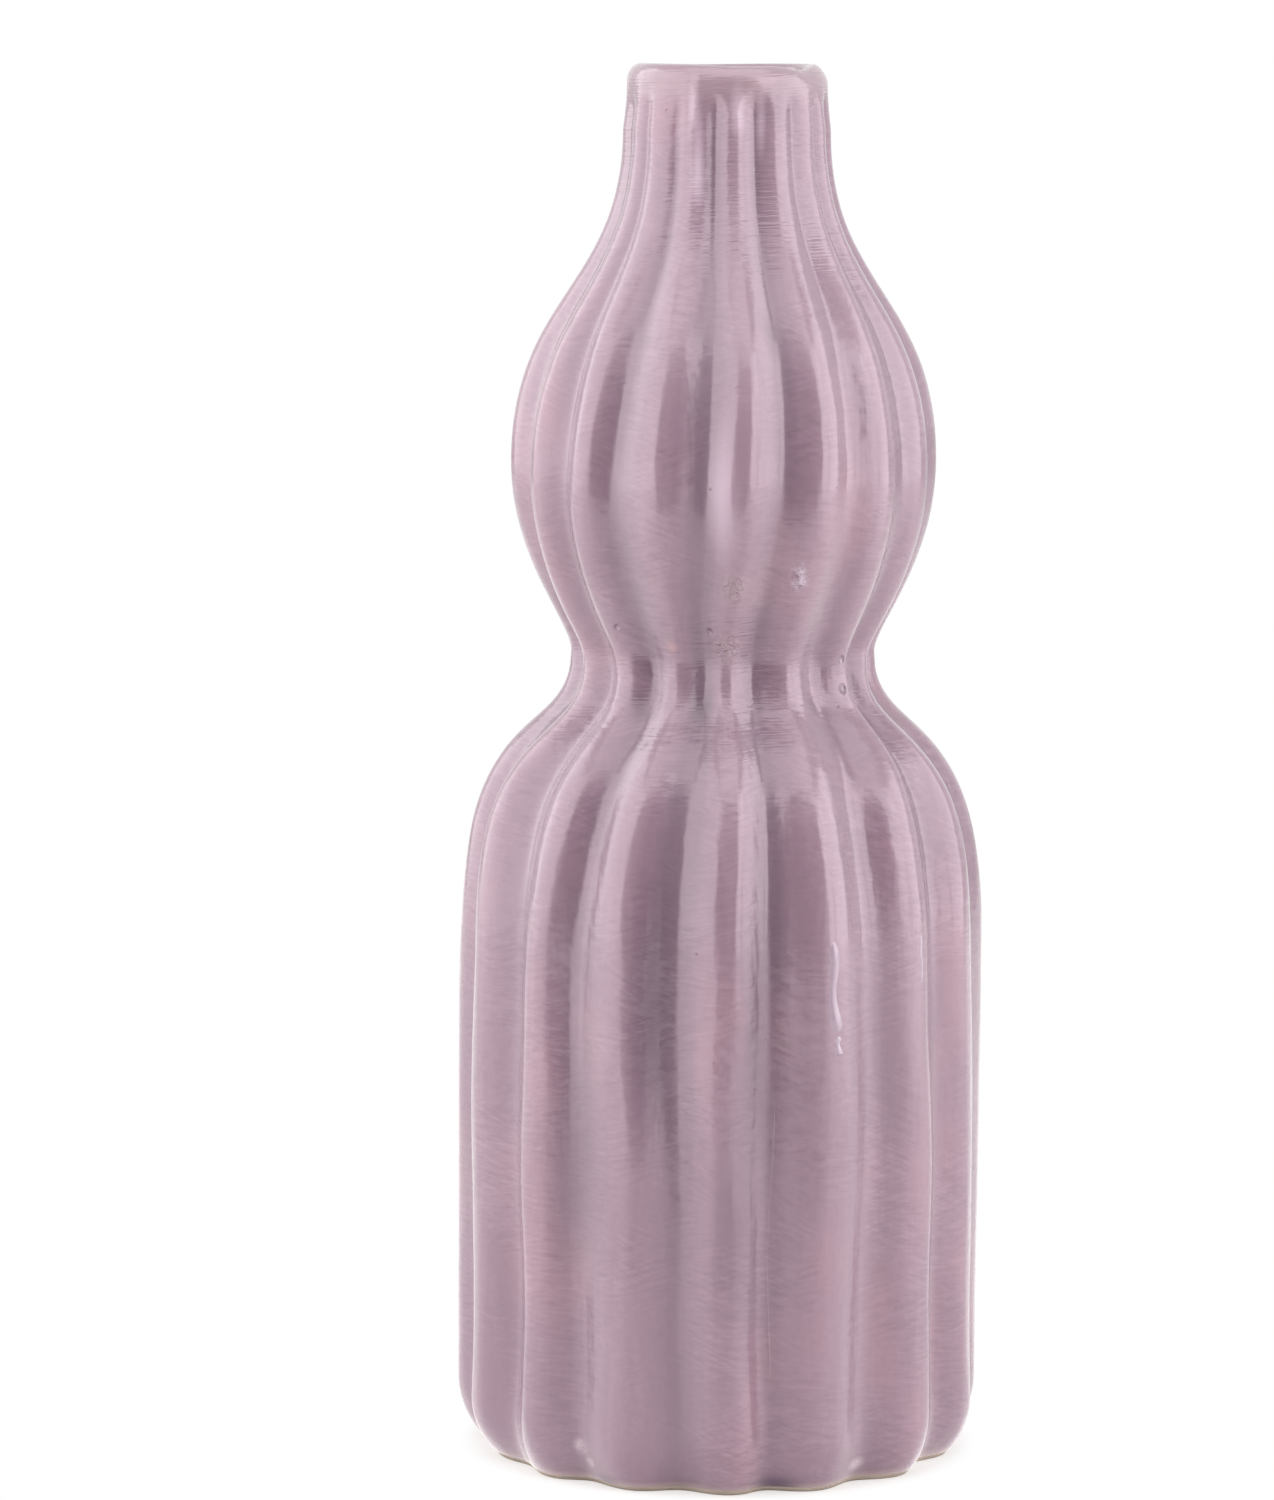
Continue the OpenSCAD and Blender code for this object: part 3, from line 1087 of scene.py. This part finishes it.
    def bumped(self, tree: Tree, height: Socket, rise: float, under: Socket | None) -> Socket:
        """Raise a pattern on the surface.

        Args:
            tree: Node tree of the material.
            height: The pattern.
            rise: How high a value of 1 stands.
            under: Normal of what lies below, if anything does.

        Returns:
            The new normal.
        """
        inputs = {"Height": height, "Distance": rise, "Strength": 1.0}
        if under is not None:
            inputs["Normal"] = under
        return add_node(tree, "ShaderNodeBump", inputs).outputs["Normal"]

    def tinted(self, tree: Tree, colour: Socket, share: Socket, tint: str) -> Socket:
        """Mix a tint into the colour by a share and return the new colour."""
        return blend(tree, share, colour, linear(tint))

    def strokes(self, tree: Tree, place: Socket) -> Socket:
        """Draw brush lines that lean a little and show only in patches.

        Args:
            tree: Node tree of the material.
            place: Where on the vase, in metres.

        Returns:
            Values from 0, and one half where there are no lines.
        """
        sizes = (self.stroke_length, self.stroke_length, self.stroke_pitch)
        total: Socket | float = NOISE_MIDDLE
        for tilt, patch in self.stroke_sets:
            lines = self.pattern(tree, place, sizes, SOME_DETAIL, tilt=tilt)
            patches = self.pattern(tree, place, (patch,) * 3, LITTLE_DETAIL)
            shown = ramp(tree, patches, self.strokes_from, self.strokes_to)
            centred = reckon(tree, "SUBTRACT", lines, NOISE_MIDDLE)
            total = reckon(tree, "MULTIPLY_ADD", centred, shown, total)
        return total

    def brushing(self, tree: Tree, place: Socket, up: Socket) -> Socket:
        """Draw the fine level brush marks of the neck and the waist, where a brush went round dry.

        Args:
            tree: Node tree of the material.
            place: Where on the vase, in metres.
            up: Height of the point.

        Returns:
            Values round 0, and 0 where there are no marks.
        """
        sizes = (self.brush_length, self.brush_length, self.brush_pitch)
        fine = self.pattern(tree, place, sizes, LITTLE_DETAIL, tilt=self.brush_tilt)
        neck = ramp(tree, up, self.brushed_from, self.brushed_to)
        off = reckon(tree, "ABSOLUTE", reckon(tree, "SUBTRACT", up, self.form.outline.waist_z))
        waist = ramp(tree, off, 0.0, self.waist_reach, self.waist_share, 0.0)
        centred = reckon(tree, "SUBTRACT", fine, NOISE_MIDDLE)
        return reckon(tree, "MULTIPLY", centred, reckon(tree, "MAXIMUM", neck, waist))

    def colour(self, tree: Tree, place: Socket, grain: Socket, strokes: Socket, runs: Socket) -> Socket:
        """Mix the colour from how thick the glaze lies.

        Args:
            tree: Node tree of the material.
            place: Where on the vase, in metres.
            grain: Fine specks.
            strokes: Brush lines.
            runs: Upright streaks.

        Returns:
            The colour.
        """
        groove = add_node(tree, "ShaderNodeAttribute", attribute_name=GROOVE_LAYER).outputs["Fac"]
        clouds = self.pattern(tree, place, self.cloud_sizes, FINE_DETAIL)
        blush = self.pattern(tree, place, self.blush_sizes, SOME_DETAIL)
        spread = reckon(tree, "ADD", clouds, runs)
        thick = reckon(tree, "MULTIPLY_ADD", spread, self.thickness_spread, groove)
        to_body = ramp(tree, thick, self.thin_to, self.body_at)
        to_pool = ramp(tree, thick, self.body_at, self.pooled_from)
        mixed = blend(tree, to_body, linear(self.thin), linear(self.body))
        mixed = self.tinted(tree, mixed, to_pool, self.pooled)
        pink = ramp(tree, blush, self.blush_from, self.blush_to, 0.0, self.blush_share)
        mixed = self.tinted(tree, mixed, pink, self.blush)
        specks = reckon(tree, "MULTIPLY_ADD", grain, self.grain_share, strokes)
        middle = (1 + self.grain_share) * NOISE_MIDDLE
        shade = ramp(tree, specks, middle - self.shade_reach, middle + self.shade_reach,
                     1 - self.shade_swing, 1 + self.shade_swing, smooth=False)
        return blend(tree, 1.0, mixed, shade, blend_type="MULTIPLY")

    def flawed_and_painted(self, tree: Tree, place: Socket, colour: Socket) -> tuple[Socket, Socket]:
        """Lay the glaze's faults and the patches of painted light and painted shade over the colour, and
        gather their relief.

        Args:
            tree: Node tree of the material.
            place: Where on the vase, in metres.
            colour: Colour of the sound glaze.

        Returns:
            The colour with the faults and the painted light and shade, and their height in millimetres.
        """
        wrinkles = self.pattern(tree, place, (self.wrinkle_size,) * 3, FINE_DETAIL)
        relief: Socket | float = 0.0
        for flaw_or_painted in self.flaws_and_painted_light:
            off = reckon_vectors(tree, "SUBTRACT", place, self.form.point_at(flaw_or_painted.angle, flaw_or_painted.height * MM))
            squeeze = (1 / flaw_or_painted.stretch, 1 / flaw_or_painted.stretch, 1.0)
            away = reckon_vectors(tree, "LENGTH", reckon_vectors(tree, "MULTIPLY", off, squeeze))
            near = ramp(tree, away, 0.0, flaw_or_painted.reach * MM, 1.0, 0.0)
            rough = ramp(tree, wrinkles, self.wrinkles_from, self.wrinkles_to, 1 - flaw_or_painted.crinkle, 1.0,
                         smooth=False)
            broken = reckon(tree, "MULTIPLY", near, rough)
            share = reckon(tree, "MULTIPLY", broken, flaw_or_painted.tint_share)
            # For a painted entry this tint is painted light or painted shade, not a colour of the glaze
            colour = self.tinted(tree, colour, share, flaw_or_painted.tint.value)
            relief = reckon(tree, "MULTIPLY_ADD", broken, flaw_or_painted.rise, relief)
        return colour, relief

    def pins(self, tree: Tree, place: Socket) -> Socket:
        """Sink a few pinholes where bubbles broke in the kiln.

        Args:
            tree: Node tree of the material.
            place: Where on the vase, in metres.

        Returns:
            Height, 1 on the surface and 0 in a pinhole.
        """
        cells = add_node(tree, "ShaderNodeTexVoronoi", {"Vector": place, "Scale": 1 / self.pin_size})
        reach = self.pin_r / self.pin_size
        return ramp(tree, cells.outputs["Distance"], self.pin_floor_share * reach, reach)


@dataclass(frozen=True)
class BareEarthenware:
    """Fired buff earthenware, wiped clean of glaze: matt, dry, finely gritty and darker where dirty."""

    name: str = "bare_clay"
    light: str = "#C6B7AA"
    dark: str = "#AC9C8F"
    ior: float = 1.5
    roughness_low: float = 0.8
    roughness_high: float = 0.96
    stain_size: float = 9 * MM
    stain_from: float = 0.3
    stain_to: float = 0.7
    grit_size: float = 0.6 * MM
    grit_height: float = 0.05 * MM

    def material(self) -> bpy.types.Material:
        """Build the finish.

        Returns:
            The clay as a material.
        """
        made = fresh_material(self.name)
        tree = made.node_tree
        place = add_node(tree, "ShaderNodeTexCoord").outputs["Object"]
        stain, grit = (
            add_node(tree, "ShaderNodeTexNoise", {
                "Vector": place, "Scale": 1 / size, "Detail": detail}).outputs[0]
            for size, detail in ((self.stain_size, FINEST_DETAIL), (self.grit_size, FINE_DETAIL))
        )
        spread = ramp(tree, stain, self.stain_from, self.stain_to, smooth=False)
        bump = add_node(tree, "ShaderNodeBump", {
            "Height": grit, "Distance": self.grit_height, "Strength": 1.0})
        shader = add_node(tree, "ShaderNodeBsdfPrincipled", {
            "Base Color": blend(tree, spread, linear(self.dark), linear(self.light)),
            "Roughness": ramp(tree, grit, 0.0, 1.0, self.roughness_low, self.roughness_high, smooth=False),
            "IOR": self.ior,
            "Normal": bump.outputs[0],
        })
        add_node(tree, "ShaderNodeOutputMaterial", {"Surface": shader.outputs[0]})
        return made


@dataclass
class ClayShell:
    """The slip-cast clay: a fluted wall, a round inside, a floor and a ring to stand on."""

    form: VaseForm
    foot_ring_w: float = 8 * MM
    foot_hollow_h: float = 1.2 * MM
    edge_round: float = 0.5 * MM
    flush_inset: float = 0.12 * MM
    flush_top: float = 0.8 * MM
    rows: int = 90
    sharp_angle: float = math.radians(50)

    def build(self) -> bpy.types.Object:
        """Mesh the shell, from the hollow under the foot up the outside and down the inside.

        Returns:
            The clay as one closed object.
        """
        form, outline = self.form, self.form.outline
        low = np.concatenate([
            [self.edge_round, self.flush_top],
            outline.even_heights(2 * self.flush_top, outline.flute_top_z, self.rows)])
        heights = low[:, None]
        inset = np.where(heights <= self.flush_top, self.flush_inset, form.glaze_t)
        wall = form.skin(form.places, heights, inset)
        foot = wall[:1].copy()
        foot[..., 2] = 0.0
        inward = 1 - self.edge_round / np.hypot(foot[..., 0], foot[..., 1])
        foot[..., :2] *= inward[..., None]
        ring_r = outline.foot_r - form.fluting.depth - self.foot_ring_w
        under = form.rings(
            np.array([form.middle_r, ring_r - self.edge_round, ring_r, ring_r]),
            np.array([self.foot_hollow_h, self.foot_hollow_h, self.foot_hollow_h - self.edge_round, 0.0]))
        top = form.rings(*form.outer_lip(form.glaze_t).T)
        down = form.rings(*form.inner_lip(form.glaze_t).T)[1:]
        inside = form.rings(*form.inside(0.0).T)
        rings = np.concatenate([under, foot, wall, top, down, inside])
        sheet = Sheet()
        sheet.add_closed(form.hands.settle(rings), 0.0)
        return sheet.build("clay_shell", self.sharp_angle)

    def dress(self, piece: bpy.types.Object, finish: bpy.types.Material) -> None:
        """Give the clay its finish and its place in the frame.

        Args:
            piece: The clay.
            finish: The bare clay's finish.
        """
        piece.data.materials.append(finish)
        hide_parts(CadNode.CLAY.value)
        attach(piece, Body.ROOT.value)


@dataclass(frozen=True)
class GlazeRun:
    """A thick run of glaze that froze on a crest: a thin raised string that ends in a bead."""

    place: float
    top: float
    bottom: float
    width: float
    height: float
    sway: float = 0.25 * MM
    phase: float = 0.0
    rows: int = 60
    paleness: float = 1.0
    columns: int = 13
    # It swells over one part in this many of its length, and its tail ends over one in so many
    swell_rate: float = 6
    tail_rate: float = 22
    # The string's thickness, as a share of the height, and how it waves along the run
    string_share: float = 0.55
    string_swing: float = 0.2
    string_waves: float = 9
    bead_share: float = 0.35
    bead_at: float = 0.9
    bead_reach: float = 0.07
    least_width_share: float = 0.35
    sway_waves: float = 7.5
    roundness: float = 1.3
    edge_sunk: float = 0.015 * MM
    sunk: float = 0.12 * MM
    groove_share: float = 0.35

    def add_to(self, sheet: Sheet, form: VaseForm) -> None:
        """Mesh the run on the glazed surface.

        Args:
            sheet: The coat's sheet, which takes the run.
            form: The form that the run lies on.
        """
        along = np.linspace(0, 1, self.rows)[:, None]
        across = np.linspace(-1, 1, self.columns)[None]
        heights = self.top + (self.bottom - self.top) * along
        pitch = form.outline.radius_at(heights) * TURN / form.fluting.count
        string = self.string_share + self.string_swing * np.sin(self.string_waves * along + self.phase)
        string *= np.sin(math.pi * np.clip(along * self.swell_rate, 0, 1) / 2)
        bead = self.bead_share * np.exp(-(((along - self.bead_at) / self.bead_reach) ** 2))
        tail = np.sqrt(np.clip((1 - along) * self.tail_rate, 0, 1))
        size = (string + bead) * tail
        half = self.width * (self.least_width_share + (1 - self.least_width_share) * size) / 2
        sway = self.sway * np.sin(self.sway_waves * along + self.phase)
        places = self.place + (across * half + sway) / pitch
        base = form.skin(places, heights)
        outward = base * np.array([1.0, 1.0, 0.0])
        outward /= np.linalg.norm(outward, axis=-1, keepdims=True)
        rise = self.height * size * np.cos(across * math.pi / 2) ** self.roundness - self.edge_sunk
        top = base + outward * rise[..., None]
        under = base - outward * self.sunk
        loop = np.concatenate([top, under[:, ::-1]], axis=1)[:, ::-1]
        sheet.add_closed(form.hands.settle(loop), self.groove_share, self.paleness)


@dataclass
class OuterCoat:
    """The glaze brushed over the outside, which stops in a soft roll above the foot."""

    form: VaseForm
    bare_line_h: float = 1.045 * MM
    # The waves in which the glaze's edge wanders: strength, how many round the vase, and phase
    edge_waves: tuple[tuple[float, float, float], ...] = (
        (0.063 * MM, 3, 1.0), (0.042 * MM, 7, 2.2),
    )
    roll_rows: int = 5
    # From the roll up to here the rows still follow the edge
    level_from: float = 3 * MM
    edge_rows: int = 2
    rows: int = 240
    back_rows: int = 42
    sharp_angle: float = math.radians(50)
    runs: tuple[GlazeRun, ...] = (
        GlazeRun(1.02, 118.5 * MM, 99.5 * MM, 2.6 * MM, 0.5 * MM, paleness=0.75),
        GlazeRun(1.03, 98.5 * MM, 94.5 * MM, 1.8 * MM, 0.4 * MM, sway=0.1 * MM, phase=1.0, rows=24),
        GlazeRun(2.0, 118 * MM, 108 * MM, 1.1 * MM, 0.3 * MM, sway=0.1 * MM, phase=2.0, rows=30),
        GlazeRun(0.46, 88 * MM, 24 * MM, 0.7 * MM, 0.14 * MM, sway=0.5 * MM, phase=0.6, rows=120,
                 paleness=0.0),
    )

    def edge_heights(self) -> np.ndarray:
        """Let the glaze's lower edge wander.

        Returns:
            How high it stops above the table at each column.
        """
        places = self.form.places * TURN / self.form.fluting.count
        waves = (high * np.sin(count * places + phase) for high, count, phase in self.edge_waves)
        return self.bare_line_h + sum(waves)

    def build(self) -> bpy.types.Object:
        """Mesh the coat: its face up the outside, its back down against the clay, and its runs.

        Returns:
            The outer glaze as one closed object.
        """
        form, outline = self.form, self.form.outline
        roll = form.glaze_t / 2
        edge = self.edge_heights()
        share = np.linspace(0, 1, self.roll_rows, endpoint=False)
        level = outline.even_heights(self.level_from, outline.flute_top_z, self.rows)
        low = edge + roll * np.sin(share[:, None] * math.pi / 2)
        rise = np.linspace(0, 1, self.edge_rows, endpoint=False)[:, None]
        middle = (edge + roll) + (self.level_from - edge - roll) * rise
        face_z = np.concatenate([low, middle, np.repeat(level[:, None], len(edge), axis=1)])
        face = form.skin(form.places, face_z)
        inward = form.glaze_t * (1 - np.cos(share * math.pi / 2))[::-1] / 2
        for row, amount in enumerate(inward):
            radius = np.hypot(face[row, :, 0], face[row, :, 1])
            face[row, :, :2] *= (1 - amount / radius)[:, None]
        back_level = outline.even_heights(self.level_from, outline.flute_top_z, self.back_rows)[::-1]
        back_z = np.concatenate([
            np.repeat(back_level[:, None], len(edge), axis=1), (edge + roll)[None]])
        back = form.skin(form.places, back_z, form.glaze_t)
        pooled = form.fluting.pool_at(form.places, np.concatenate([face_z, back_z]))
        sheet = Sheet()
        rings = form.hands.settle(np.concatenate([face, back]))
        sheet.add_rings(rings, pooled, ends_joined=True)
        for run in self.runs:
            run.add_to(sheet, form)
        return sheet.build("outer_glaze_coat", self.sharp_angle)

    def dress(self, piece: bpy.types.Object, finish: bpy.types.Material) -> None:
        """Give the coat its finish and its place in the frame.

        Args:
            piece: The coat.
            finish: The glaze.
        """
        piece.data.materials.append(finish)
        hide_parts(CadNode.OUTSIDE.value)
        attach(piece, Body.ROOT.value)


@dataclass
class LinerCoat:
    """The glaze poured through the inside, which laps over the lip and meets the outer coat."""

    form: VaseForm
    band_rows: int = 4
    back_rows: int = 36
    pooled_share: float = 0.15
    sharp_angle: float = math.radians(50)

    def build(self) -> bpy.types.Object:
        """Mesh the liner: over the lip and down to the floor, and back against the clay.

        Returns:
            The liner as one closed object.
        """
        form, outline = self.form, self.form.outline
        lip = form.outer_lip(0.0)
        band_z = np.linspace(outline.flute_top_z, lip[0, 1], self.band_rows, endpoint=False)
        band = np.stack([np.full_like(band_z, outline.lip_r), band_z], axis=-1)
        face = np.concatenate([band, lip, form.inner_lip(0.0)[1:], form.inside(form.glaze_t)])
        back = np.concatenate([
            [[outline.lip_r - form.glaze_t, outline.flute_top_z]],
            form.outer_lip(form.glaze_t),
            form.inner_lip(form.glaze_t)[1:],
            form.inside(0.0, self.back_rows),
        ])
        rings = np.concatenate([form.rings(*back[::-1].T), form.rings(*face.T)])
        sheet = Sheet()
        sheet.add_closed(form.hands.settle(rings), self.pooled_share)
        return sheet.build("liner_glaze_coat", self.sharp_angle)

    def dress(self, piece: bpy.types.Object, finish: bpy.types.Material) -> None:
        """Give the liner its finish and its place in the frame.

        Args:
            piece: The liner.
            finish: The glaze.
        """
        piece.data.materials.append(finish)
        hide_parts(CadNode.INSIDE.value)
        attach(piece, Body.ROOT.value)


@dataclass(frozen=True)
class Softbox:
    """A flat lamp behind white cloth, aimed at the vase."""

    name: str
    azimuth: float
    distance: float
    height: float
    width: float
    tall: float
    radiance: float
    aim_z: float = 0.16

    def place(self) -> None:
        """Put the lamp up."""
        lamp = bpy.data.lights.new(self.name, "AREA")
        lamp.shape = "RECTANGLE"
        lamp.size = self.width
        lamp.size_y = self.tall
        lamp.energy = self.radiance * math.pi * self.width * self.tall
        held = bpy.data.objects.new(self.name, lamp)
        around = math.radians(self.azimuth)
        held.location = (
            self.distance * math.sin(around), -self.distance * math.cos(around), self.height)
        aim = Vector((0.0, 0.0, self.aim_z)) - held.location
        held.rotation_euler = aim.to_track_quat("-Z", "Y").to_euler()
        bpy.context.scene.collection.objects.link(held)


@dataclass
class Studio:
    """A white table under soft lamps, with the dim room in front that the glaze mirrors."""

    table_half: float = 6.0
    # A hair below the foot, so that the two faces never lie in one plane
    table_z: float = -0.02 * MM
    table_white: str = "#F4F3F2"
    table_seen: str = "#B0AEAC"
    # How strongly the table glows into the glaze: in front, at the sides near and far, and behind
    table_glow: float = 0.3
    glow_near: float = 0.92
    glow_far: float = 1.55
    glow_behind: float = 0.5
    # Where the near side ends and the far one starts, and the directions where each side starts and ends
    near_to: float = 0.36
    far_from: float = 0.58
    left_from: float = 0.2
    left_to: float = 0.75
    right_from: float = 0.45
    right_to: float = 0.97
    behind_from: float = -0.1
    behind_to: float = 0.4
    # What the camera sees of the table: its shadow near the foot, and the white backdrop beyond it
    seen_glow: float = 0.62
    shade_near: float = 0.0505
    shade_far: float = 0.057
    around_light: float = 0.2
    backdrop: float = 1.0
    # The dim room's card: its edges, how softly they fade, and the notch low in its right side
    room_y: float = -0.57
    room_left: float = -0.356
    room_right: float = 0.40
    room_top: float = 0.95
    room_soft_top: float = 0.75
    room_soft_side: float = 0.07
    room_notch: float = 0.16
    notch_from: float = 0.06
    notch_to: float = 0.24
    room_dark: str = "#3A3638"
    boxes: tuple[Softbox, ...] = (
        Softbox("left_softbox", -82, 1.1, 0.62, 2.4, 1.5, 2.1),
        Softbox("right_softbox", 47.5, 1.1, 0.52, 0.49, 1.3, 2.75),
        Softbox("right_fill", 84, 1.15, 0.52, 1.0, 1.3, 2.5),
        Softbox("top_softbox", 0, 0.35, 1.35, 1.3, 1.3, 1.5),
    )

    def build(self) -> None:
        """Set up the table, the dim room, the lamps and the light all round."""
        self.table()
        self.room()
        for box in self.boxes:
            box.place()
        self.surroundings()

    def plane(self, name: str, corners: list[tuple[float, float, float]],
              finish: bpy.types.Material) -> bpy.types.Object:
        """Make a flat stage piece from four corners.

        Args:
            name: Name of the piece.
            corners: Its corners in order.
            finish: Its material.

        Returns:
            The piece, linked to the scene.
        """
        mesh = bpy.data.meshes.new(name)
        mesh.from_pydata(corners, [], [(0, 1, 2, 3)])
        mesh.materials.append(finish)
        flat = bpy.data.objects.new(name, mesh)
        bpy.context.scene.collection.objects.link(flat)
        return flat

    def seen_directly(self, tree: Tree) -> Socket:
        """Tell the rays that show the background from those that light the scene.

        Args:
            tree: Node tree of the table or of the surroundings.

        Returns:
            1 for camera, glossy and transmission rays, 0 for the others.
        """
        path = add_node(tree, "ShaderNodeLightPath")
        seen = reckon(tree, "MAXIMUM", path.outputs["Is Camera Ray"], path.outputs["Is Glossy Ray"])
        return reckon(tree, "MAXIMUM", seen, path.outputs["Is Transmission Ray"])

    def table_strength(self, tree: Tree, place: Socket, away: Socket) -> Socket:
        """Say how strongly the table top glows: most at the far sides and least behind the vase.

        Args:
            tree: Node tree of the table.
            place: Where on the table, in metres.
            away: How far from the vase's axis.

        Returns:
            The strength.
        """
        way = add_node(tree, "ShaderNodeSeparateXYZ", {0: reckon_vectors(tree, "NORMALIZE", place)})
        left = ramp(tree, way.outputs["X"], -self.left_from, -self.left_to)
        right = ramp(tree, way.outputs["X"], self.right_from, self.right_to)
        beyond = ramp(tree, away, self.near_to, self.far_from,
                      self.glow_near - self.table_glow, self.glow_far - self.table_glow)
        sides = reckon(tree, "MULTIPLY_ADD", reckon(tree, "ADD", left, right), beyond, self.table_glow)
        behind = ramp(tree, way.outputs["Y"], self.behind_from, self.behind_to)
        return add_node(tree, "ShaderNodeMix", {
            MIX_FACTOR: behind, MIX_LOW: sides, MIX_HIGH: self.glow_behind}).outputs[0]

    def table(self) -> None:
        """Lay the matt white table top, which keeps the vase's shadow and fades into the backdrop."""
        made = fresh_material("white_table")
        tree = made.node_tree
        white = linear(self.table_white)
        camera = add_node(tree, "ShaderNodeLightPath").outputs["Is Camera Ray"]
        place = add_node(tree, "ShaderNodeTexCoord").outputs["Object"]
        away = reckon_vectors(tree, "LENGTH", place)
        strength = reckon(
            tree, "MULTIPLY", self.seen_directly(tree), self.table_strength(tree, place, away))
        matt = add_node(tree, "ShaderNodeBsdfDiffuse", {"Color": white}).outputs[0]
        lit = add_node(tree, "ShaderNodeAddShader", {0: matt, 1: glow(tree, white, strength)})
        shaded = add_node(tree, "ShaderNodeBsdfDiffuse", {"Color": linear(self.table_seen)}).outputs[0]
        near = add_node(tree, "ShaderNodeAddShader", {0: shaded, 1: glow(tree, white, self.seen_glow)})
        seen = add_node(tree, "ShaderNodeMixShader", {
            0: ramp(tree, away, self.shade_near, self.shade_far),
            1: near.outputs[0],
            2: glow(tree, WHITE, self.backdrop),
        })
        both = add_node(tree, "ShaderNodeMixShader", {0: camera, 1: lit.outputs[0], 2: seen.outputs[0]})
        add_node(tree, "ShaderNodeOutputMaterial", {"Surface": both.outputs[0]})
        half, z = self.table_half, self.table_z
        self.plane("table_top", [(-half, -half, z), (half, -half, z), (half, half, z), (-half, half, z)],
                   made)

    def room(self) -> None:
        """Stand up the dim room in front, which only the glaze's reflections see."""
        made = fresh_material("dim_room")
        tree = made.node_tree
        place = add_node(tree, "ShaderNodeSeparateXYZ", {
            0: add_node(tree, "ShaderNodeTexCoord").outputs["Object"]})
        across, up = place.outputs["X"], place.outputs["Z"]
        clear = ramp(tree, up, self.room_top - self.room_soft_top, self.room_top)
        notch = ramp(tree, up, self.notch_from, self.notch_to, self.room_notch, 0.0)
        notched = reckon(tree, "ADD", across, notch)
        for edge, soft, along in (
            (self.room_left, self.room_soft_side, across), (self.room_right, -self.room_soft_side, notched),
        ):
            clear = reckon(tree, "MAXIMUM", clear, ramp(tree, along, edge + soft, edge - soft))
        faded = add_node(tree, "ShaderNodeMixShader", {
            0: clear,
            1: glow(tree, linear(self.room_dark), 1.0),
            2: add_node(tree, "ShaderNodeBsdfTransparent").outputs[0],
        })
        add_node(tree, "ShaderNodeOutputMaterial", {"Surface": faded.outputs[0]})
        y = self.room_y
        low, high = self.room_left - self.room_soft_side, self.room_right + self.room_soft_side
        flat = self.plane("dim_room", [
            (low, y, 0.0), (high, y, 0.0), (high, y, self.room_top), (low, y, self.room_top)], made)
        flat.visible_camera = False
        flat.visible_diffuse = False
        flat.visible_transmission = False
        flat.visible_volume_scatter = False
        flat.visible_shadow = False

    def surroundings(self) -> None:
        """Light the scene softly from all round, before a white backdrop."""
        world = bpy.data.worlds.new("white_surroundings")
        world.use_nodes = True
        tree = world.node_tree
        tree.nodes.clear()
        strength = ramp(tree, self.seen_directly(tree), 0.0, 1.0, self.around_light, self.backdrop,
                        smooth=False)
        light = add_node(tree, "ShaderNodeBackground", {"Color": WHITE, "Strength": strength})
        add_node(tree, "ShaderNodeOutputWorld", {"Surface": light.outputs[0]})
        bpy.context.scene.world = world


@dataclass
class PhotoCamera:
    """A long lens a little above the lip, turned so that the vase stands right of the middle."""

    distance: float = 1.286
    height: float = 0.3112
    lens: float = 143.6
    tilt: float = math.radians(7.049)
    pan: float = math.radians(0.82)
    roll: float = math.radians(0.355)
    clip_start: float = 0.01

    def place(self) -> None:
        """Set the camera up and make it the scene's."""
        data = bpy.data.cameras.new("photo_camera")
        data.lens = self.lens
        data.dof.use_dof = False
        data.clip_start = self.clip_start
        held = bpy.data.objects.new("photo_camera", data)
        turn = (
            Matrix.Rotation(self.pan, 4, "Z")
            @ Matrix.Rotation(math.pi / 2 - self.tilt, 4, "X")
            @ Matrix.Rotation(self.roll, 4, "Z")
        )
        held.matrix_world = Matrix.Translation((0.0, -self.distance, self.height)) @ turn
        bpy.context.scene.collection.objects.link(held)
        bpy.context.scene.camera = held


def main() -> None:
    """Build the vase and its studio, and report each piece."""
    bpy.context.scene.view_settings.view_transform = "Standard"
    PhotoCamera().place()
    outline = Outline()
    form = VaseForm(outline, Fluting(outline), HandWork(outline))
    clay, glaze = BareEarthenware().material(), LilacGlaze(form).material()
    for part, finish in ((ClayShell(form), clay), (OuterCoat(form), glaze), (LinerCoat(form), glaze)):
        piece = part.build()
        part.dress(piece, finish)
        log.info("%s: %d points, %d faces", piece.name, len(piece.data.vertices), len(piece.data.polygons))
    Studio().build()


def corners(box: object) -> list[list[float]]:
    """Return a box as two plain lists of numbers."""
    return [[float(v) for v in corner] for corner in box]


if __name__ == "__main__":
    main()
